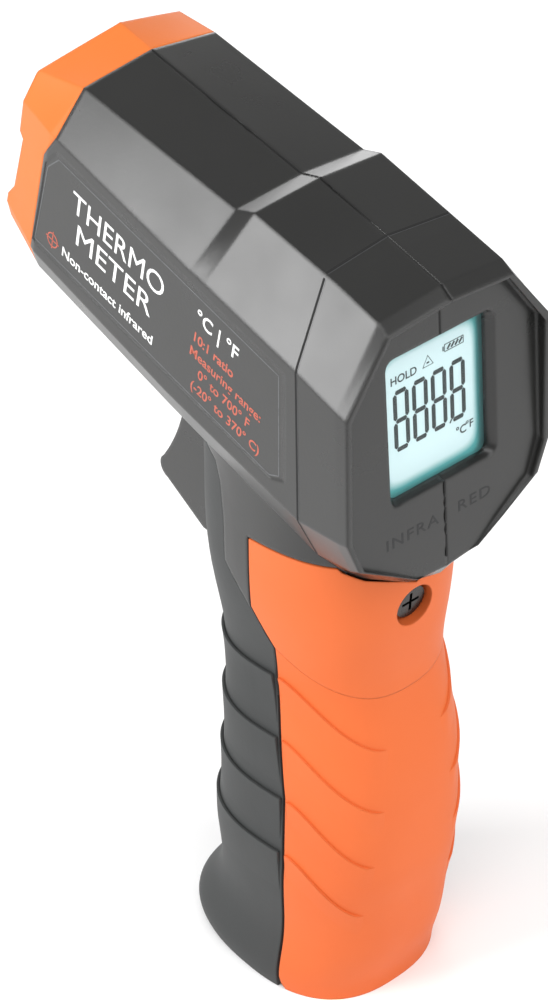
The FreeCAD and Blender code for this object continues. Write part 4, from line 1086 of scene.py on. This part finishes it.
def build_figures():
    """The row of figures on the display's face."""
    layout = bpy.data.meshes.new("figure_layout")
    layout.from_pydata([(a * FIGURE_WIDE, b * FIGURE_TALL, 0) for a, b, _, _ in SEGMENT_PLACES], [], [])
    turn = layout.attributes.new("turn", "FLOAT_VECTOR", "POINT")
    size = layout.attributes.new("size", "FLOAT_VECTOR", "POINT")
    for index, (_, _, angle, long) in enumerate(SEGMENT_PLACES):
        turn.data[index].vector = (0, 0, angle)
        size.data[index].vector = (long / UPRIGHT_LONG, 1, 1)
    helpers = []
    for name, mesh in (("figure_layout", layout),
                       ("figure_segment", segment_mesh(UPRIGHT_LONG, SEGMENT_WIDE, LCD_INK))):
        helper = bpy.data.objects.new(name, mesh)
        bpy.context.scene.collection.objects.link(helper)
        helpers.append(helper)
    piece = baked("display_figures", digit_tree(), {
        "Layout": helpers[0], "Segment": helpers[1], "Figures": 4, "Pitch": FIGURE_PITCH,
        "Material": SEGMENT_INK,
    }, SEGMENT_INK, "housing")
    turn_to_panel = Matrix((PANEL_RIGHT, PANEL_UP, PANEL_RIGHT.cross(PANEL_UP))).transposed().to_4x4()
    piece.data.transform(Matrix.Translation(lcd_point(*FIRST_FIGURE)) @ turn_to_panel)
    for helper in helpers:
        bpy.data.objects.remove(helper)


build_figures()


CELL_PITCH = 0.72                       # between the bars in the battery mark, in millimetres


def display_icons():
    """Battery, pointer mark and decimal point on the display."""
    axes = (PANEL_RIGHT, PANEL_UP)
    battery = lcd_point(8.3, -3.8)
    shapes = closed_outline([(-1.7, -0.55), (1.75, -0.55), (1.75, 0.55), (-1.7, 0.55)], 0.13, battery, *axes)
    shapes.append(outline_bar((-1.98, -0.25), (-1.98, 0.25), 0.22, battery, *axes))
    for left in (-1.1 + CELL_PITCH * k for k in range(4)):
        shapes.append(outline_bar((left, -0.22), (left + 0.38, 0.22), 0.34, battery, *axes))
    pointer = lcd_point(8.9, 1.0)
    shapes += closed_outline([(-0.95, -0.75), (0.95, -0.75), (0, 0.85)], 0.09, pointer, *axes)
    shapes.append(outline_bar((-0.12, -0.25), (0.12, -0.25), 0.24, pointer, *axes))
    shapes.append(outline_bar((-0.1, -0.16), (0.1, 0.16), 0.26, lcd_point(20.3, -2.85), *axes))
    joined_shapes("display_icons", shapes, SEGMENT_INK, "housing")
    words = [("hold", "HOLD", 9.9, 7.9, 1.75, 0.03), ("celsius", "°C", 23.2, -3.7, 1.85, 0.035),
             ("fahrenheit", "°F", 22.9, -5.55, 1.75, 0.03)]
    for name, text, down, left, size, weight in words:
        lettering("display_" + name, text, size * MM, lcd_point(down, left), PANEL_RIGHT, PANEL_UP,
                  SEGMENT_INK, "housing", weight * MM, thick=LCD_INK)


display_icons()


# ---------------------------------------------------------------- floor, lights and camera
FLOOR_WIDE = 6.0
FLOOR_GAP = 0.05 * MM


def studio_floor():
    """A wide, plain pale floor."""
    material = bpy.data.materials.new("studio_floor")
    material.use_nodes = True
    shader = material.node_tree.nodes["Principled BSDF"]
    shader.label = "Pale painted floor"
    shader.inputs["Base Color"].default_value = (0.93, 0.93, 0.93, 1)
    shader.inputs["Roughness"].default_value = 0.8
    mesh = bpy.data.meshes.new("floor")
    half = FLOOR_WIDE / 2
    corners = [(-half, -half, 0), (half, -half, 0), (half, half, 0), (-half, half, 0)]
    mesh.from_pydata(corners, [], [(0, 1, 2, 3)])
    floor = bpy.data.objects.new("floor", mesh)
    bpy.context.scene.collection.objects.link(floor)
    floor.data.materials.append(material)
    floor.location.z = CAD_BOX[0][2] - FLOOR_GAP


def softbox(name, azimuth, elevation, distance, size, power):
    """A rectangular soft light aimed at the middle of the object."""
    low, high = Vector(CAD_BOX[0]), Vector(CAD_BOX[1])
    aim = (low + high) / 2
    a, e = math.radians(azimuth), math.radians(elevation)
    back = Vector((math.sin(a) * math.cos(e), -math.cos(a) * math.cos(e), math.sin(e)))
    light = bpy.data.lights.new(name, "AREA")
    light.shape = "RECTANGLE"
    light.size, light.size_y = size
    light.energy = power
    lamp = bpy.data.objects.new(name, light)
    bpy.context.scene.collection.objects.link(lamp)
    lamp.location = aim + back * distance
    lamp.rotation_mode = "QUATERNION"
    lamp.rotation_quaternion = (-back).to_track_quat("-Z", "Y")


studio_floor()
SOFTBOXES = [
    # name, azimuth and elevation in degrees, distance, width and height, power
    ("step_box", 58, 14, 0.6, (0.3, 0.3), 0.9),
    ("right_box", 159, 28, 0.6, (0.3, 0.3), 3.2),
    ("left_box", 285, 32, 0.6, (0.4, 0.6), 2.2),
    ("camera_fill", 225, 62, 0.7, (0.4, 0.4), 1.7),
]
for softbox_values in SOFTBOXES:
    softbox(*softbox_values)
world = bpy.data.worlds.new("studio")
bpy.context.scene.world = world
world.use_nodes = True
sky = world.node_tree.nodes["Background"]
sky.label = "Even white studio"
sky.inputs["Color"].default_value = (1, 1, 1, 1)
sky.inputs["Strength"].default_value = 0.5

CAMERA_AZIMUTH = 228.704
CAMERA_ELEVATION = 38.422
CAMERA_ROLL = 0.169
CAMERA_DISTANCE = 440.42 * MM
CAMERA_AIM = Vector((8.708, 2.152, 81.458)) * MM
CAMERA_LENS = 108.12
camera_data = bpy.data.cameras.new("camera")
camera_data.sensor_width = 36
camera_data.lens = CAMERA_LENS
camera_data.clip_start, camera_data.clip_end = 0.01, 20
camera = bpy.data.objects.new("camera", camera_data)
bpy.context.scene.collection.objects.link(camera)
turn_round, turn_up = math.radians(CAMERA_AZIMUTH), math.radians(CAMERA_ELEVATION)
camera_back = Vector((math.sin(turn_round) * math.cos(turn_up), -math.cos(turn_round) * math.cos(turn_up),
                      math.sin(turn_up)))
camera.location = CAMERA_AIM + camera_back * CAMERA_DISTANCE
camera.rotation_mode = "QUATERNION"
camera_roll = Matrix.Rotation(math.radians(CAMERA_ROLL), 3, "Z").to_quaternion()
camera.rotation_quaternion = (-camera_back).to_track_quat("-Z", "Y") @ camera_roll
bpy.context.scene.camera = camera
bpy.context.scene.view_settings.view_transform = "Standard"
